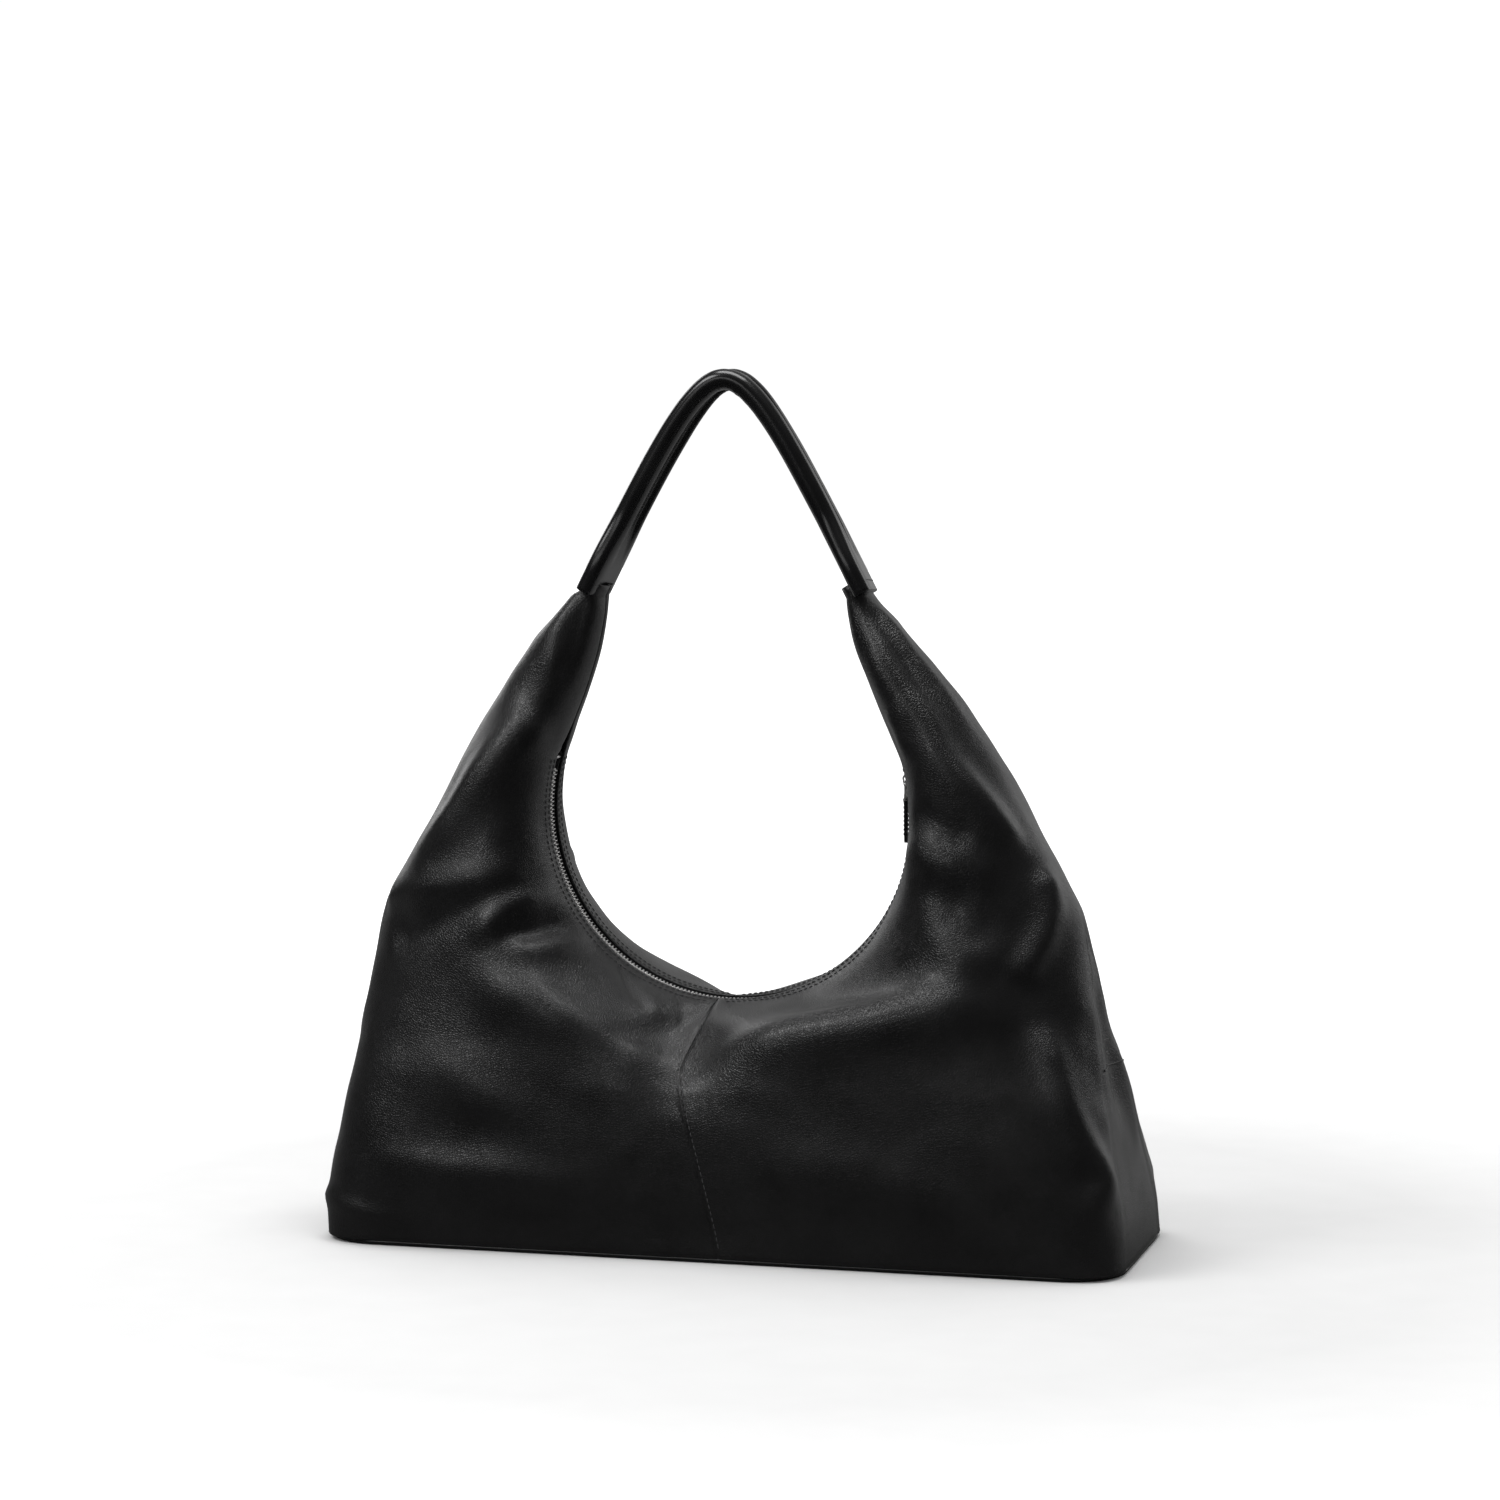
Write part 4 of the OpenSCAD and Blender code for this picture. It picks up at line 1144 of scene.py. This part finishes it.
for face in (-1, 1):
    for y in (-1.3, 1.3):
        path = np.array([hinge + (face * mix(1.75, 1.05, smooth(0, 1, (2 - z) / 8)), y, z)
                         for z in np.linspace(-3, -TAB_LENGTH + 4, 12)])
        stitch_into(tab_thread, path, np.tile([face, 0, 0.0], (12, 1)), 2.4, 1.8, 0.18, 0.0)
tab_thread_object = tab_thread.object("stitches_tab", thread)
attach(tab_thread_object, "pull_tab")

# ---------------------------------------------------------------- strap
STRAP_TOP, STRAP_SLOPE, STRAP_CROWN = 505.0, 2.05, 54.0
STRAP_X = lean(HORN)
STRAP_END = 82.6
STRAP_SIDES, STRAP_RINGS = 72, 190
# Half the thickness of the rolls, above and below, of the band between them and of the ends
ROLL_TOP, ROLL_UNDER, BAND, PAD = 6.2, 6.0, 3.3, 5.7
HALF_STRAP, HALF_STRAP_FOOT, ROLL_CENTRE, SECTION_POWER = 15.2, 22.0, 0.51, 0.9
TWIST_RIGHT, TWIST_LEFT = -7.0, -6.0  # degrees
FOOT_STITCHES, CHANNEL_STITCHES = 79.9, 0.30


def strap_point(x):
    root = math.sqrt((STRAP_SLOPE * x) ** 2 + STRAP_CROWN**2)
    slope = -STRAP_SLOPE**2 * x / root
    d = np.array([1, 0, slope]) / math.sqrt(1 + slope * slope)
    return np.array([STRAP_X + x, 0, STRAP_TOP + STRAP_CROWN - root]), d


def strap_section(x, k):
    """Offset across (y) and out of (h) the strap for one of the points round its section."""
    a = 2 * math.pi * k / STRAP_SIDES
    share = math.cos(a)
    u = math.copysign(abs(share) ** SECTION_POWER, share)
    w = abs(u)
    top = math.sin(a) >= 0
    lobe = math.sqrt(max(0.0, 1 - ((w - ROLL_CENTRE) / (1 - ROLL_CENTRE)) ** 2)) ** 0.9
    if top:
        roll = ROLL_TOP * lobe
        if w < 0.2:
            roll = max(roll, 2.4 * smooth(0.0, 0.10, w) + 1.0)
    else:
        # The backing bridges the two rolls as a flat band.
        inner = mix(BAND, BAND - 0.3, smooth(0.3, 0.36, w))
        roll = mix(ROLL_UNDER * lobe if w >= 0.36 else inner, BAND, smooth(0.42, 0.34, w))
    pad = PAD * (1 - w**6) ** 0.4
    h = float(mix(roll, pad, smooth(60, 75, abs(x))))
    half = mix(HALF_STRAP, HALF_STRAP_FOOT, float(smooth(58, 77, abs(x))))
    return half * u, (h if top else -h)


def strap_frame(x):
    """Centre, direction, across and outward at a place along the slightly twisted strap."""
    p, d = strap_point(x)
    out = np.array([-d[2], 0, d[0]])
    right = TWIST_RIGHT * float(smooth(0, 35, x))
    left = TWIST_LEFT * float(smooth(0, 35, -x)) * mix(0.3, 1, float(smooth(78, 58, -x)))
    twist = math.radians(right + left)
    back_way = np.array([0.0, 1.0, 0.0])
    across = back_way * math.cos(twist) + out * math.sin(twist)
    outward = out * math.cos(twist) - back_way * math.sin(twist)
    return p, d, across, outward


rings = []
for x in STRAP_END * np.linspace(-1, 1, STRAP_RINGS):
    p, d, across, outward = strap_frame(float(x))
    ring = []
    for k in range(STRAP_SIDES):
        y, h = strap_section(float(x), k)
        q = p + across * y + outward * h
        ripple = noise.noise(Vector((x * 0.05, y * 0.03, 2.0)))
        fine = noise.noise(Vector((x * 0.34, y * 0.09, 7.0)))
        near_top = math.exp(-((x / 16) ** 2)) * (1.0 if h < 0 else 0.12)
        ring.append(q + outward * math.copysign(0.30 * ripple + 0.75 * fine * near_top, h))
    rings.append(ring)


def cut_end(ring, x, beyond):
    """A slightly smaller ring past the strap's last one, which rounds its cut end."""
    centre = np.mean(ring, axis=0)
    return [mix(p, centre, 0.05) + strap_frame(x)[1] * beyond for p in ring]


first, last = cut_end(rings[0], -STRAP_END, -0.5), cut_end(rings[-1], STRAP_END, 0.5)
strap = Merged()
strap.add_loft([first] + rings + [last])
strap_object = strap.object("strap_padded", strap_leather)
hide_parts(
    "strap_cover", "strap_backing", "strap_foot_left", "strap_foot_right"
)

strap_thread = Merged()


def strap_row(x_values, share_values, top):
    """Path on the strap's surface, for a row of stitches."""
    path, normals = [], []
    for x, share in zip(x_values, share_values):
        p, d, across, outward = strap_frame(float(x))
        angle = math.acos(math.copysign(abs(share) ** (1 / SECTION_POWER), share))
        k = angle / (2 * math.pi) * STRAP_SIDES * (1 if top else -1)
        y, h = strap_section(float(x), k % STRAP_SIDES)
        path.append(p + across * y + outward * h)
        normals.append(outward if top else -outward)
    return np.array(path), np.array(normals)


for sign in (-1, 1):
    for top in (True, False):
        shares = np.linspace(-0.86, 0.86, 24)
        path, n = strap_row([sign * FOOT_STITCHES] * 24, shares, top)
        stitch_into(strap_thread, path, n, 3.0, 2.2, 0.26, 0.05)
for share in (-CHANNEL_STITCHES, CHANNEL_STITCHES):
    xs = np.linspace(-60, 60, 120)
    path, n = strap_row(xs, [share] * 120, False)
    stitch_into(strap_thread, path, n, 3.4, 2.5, 0.22, 0.0)
strap_thread_object = strap_thread.object("stitches_strap", thread)
for piece in (strap_object, strap_thread_object):
    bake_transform(piece)

# ---------------------------------------------------------------- CAD pieces that stay
dress(["base_board"], board)
dress(["lining_base", "inner_pocket"], lining)
dress(["strap_core_front", "strap_core_back"], filler)

# ---------------------------------------------------------------- studio
floor_nodes = new_look("studio_floor")
speckle = floor_nodes.noise(floor_nodes.place(), 30.0, 2.0)
paper = floor_nodes.ramp(speckle, (0.2, (0.74, 0.74, 0.74)), (0.8, (0.76, 0.76, 0.76)))
spot = floor_nodes.add("ShaderNodeTexCoord").outputs["Object"]
rays = floor_nodes.add("ShaderNodeLightPath").outputs
depth = floor_nodes.add("ShaderNodeSeparateXYZ", {"Vector": spot}).outputs["Y"]
flag = floor_nodes.ramp(
    floor_nodes.remap(depth, -0.3, 0.3, 0.0, 1.0), (0.1, (0.012,) * 3), (0.95, (0.24,) * 3)
)
# Reflections see a darker floor than the camera does, like a black card on a studio table.
card = floor_nodes.add(
    "ShaderNodeMix", {"Factor": rays["Is Glossy Ray"], "A": paper, "B": flag}, data_type="RGBA"
)
distance = floor_nodes.add(
    "ShaderNodeVectorMath", {0: spot}, operation="LENGTH"
).outputs["Value"]
far_glow = floor_nodes.remap(distance, 0.42, 1.5, 0.0, 0.9)
glow = floor_nodes.maths("MULTIPLY", far_glow, rays["Is Camera Ray"])
floor_nodes.set(
    Base_Color=card.outputs["Result"], Roughness=0.95, Specular_IOR_Level=0.0,
    Emission_Color=(1, 1, 1, 1), Emission_Strength=glow,
)
FLOOR = 9.0
floor_mesh = bpy.data.meshes.new("floor")
floor_mesh.from_pydata(
    [(-FLOOR, -FLOOR, 0), (FLOOR, -FLOOR, 0), (FLOOR, FLOOR, 0), (-FLOOR, FLOOR, 0)], [],
    [(0, 1, 2, 3)],
)
floor = bpy.data.objects.new("floor", floor_mesh)
bpy.context.scene.collection.objects.link(floor)
floor_mesh.materials.append(floor_nodes.owner)


def area_light(name, at, aim, size_x, size_y, watts):
    light = bpy.data.lights.new(name, "AREA")
    light.shape = "RECTANGLE"
    light.size = size_x
    light.size_y = size_y
    light.energy = watts
    obj = bpy.data.objects.new(name, light)
    obj.location = at
    direction = Vector(aim) - Vector(at)
    obj.rotation_euler = direction.to_track_quat("-Z", "Y").to_euler()
    bpy.context.scene.collection.objects.link(obj)


area_light("top_soft", (0.0, 0.12, 1.75), (0, 0.0, 0.1), 1.1, 0.7, 14)
area_light("left_soft", (-1.3, 1.5, 0.9), (0, 0, 0.25), 0.6, 1.3, 3.5)
area_light("right_soft", (1.0, 1.7, 0.8), (0, 0, 0.2), 0.6, 1.2, 2)
area_light("front_soft", (-1.05, -0.8, 1.6), (0, 0, 0.2), 0.9, 0.6, 12)
area_light("low_soft", (-0.6, -1.75, 0.98), (0, 0, 0.15), 1.1, 0.4, 2.4)

# World: soft light and the camera see it pale, while reflections see it dark, a little brighter
# straight behind the bag and straight above it
sky = Nodes(bpy.data.worlds.new("studio_world"), "Background")
bpy.context.scene.world = sky.owner
way = sky.add("ShaderNodeTexCoord").outputs["Generated"]
split = sky.add("ShaderNodeSeparateXYZ", {0: way}).outputs


def sky_ramp(axis, *stops):
    place = sky.maths("MULTIPLY_ADD", split[axis], 0.5, 0.5)
    return sky.ramp(place, *((at, (level,) * 3) for at, level in stops))


around = sky.add("ShaderNodeMix", {
    "Factor": 1.0,
    "A": sky_ramp("Y", (0.30, 0.01), (0.80, 0.04), (0.985, 0.42)),
    "B": sky_ramp("Z", (0.5, 0.0), (0.8, 0.04), (1.0, 0.22)),
}, data_type="RGBA", blend_type="ADD").outputs["Result"]
sky_rays = sky.add("ShaderNodeLightPath").outputs
for ray, level in (("Is Diffuse Ray", 0.66), ("Is Camera Ray", 1.03)):
    around = sky.add("ShaderNodeMix", {
        "Factor": sky_rays[ray], "A": around, "B": (level, level, level, 1),
    }, data_type="RGBA").outputs["Result"]
sky.set(Color=around, Strength=1.0)
bpy.context.scene.view_settings.view_transform = "Standard"

# ---------------------------------------------------------------- camera
AZIMUTH, ELEVATION, DISTANCE, LENS, SENSOR = 15.02, 4.86, 2.5, 102.3, 36
TARGET = Vector((0.0031, 0, 0.2885))
a, e = math.radians(AZIMUTH), math.radians(ELEVATION)
back_vector = Vector((math.sin(a) * math.cos(e), -math.cos(a) * math.cos(e), math.sin(e)))
camera_data = bpy.data.cameras.new("camera")
camera_data.lens = LENS
camera_data.sensor_width = SENSOR
camera = bpy.data.objects.new("camera", camera_data)
camera.location = TARGET + back_vector * DISTANCE
camera.rotation_euler = (-back_vector).to_track_quat("-Z", "Y").to_euler()
bpy.context.scene.collection.objects.link(camera)
bpy.context.scene.camera = camera
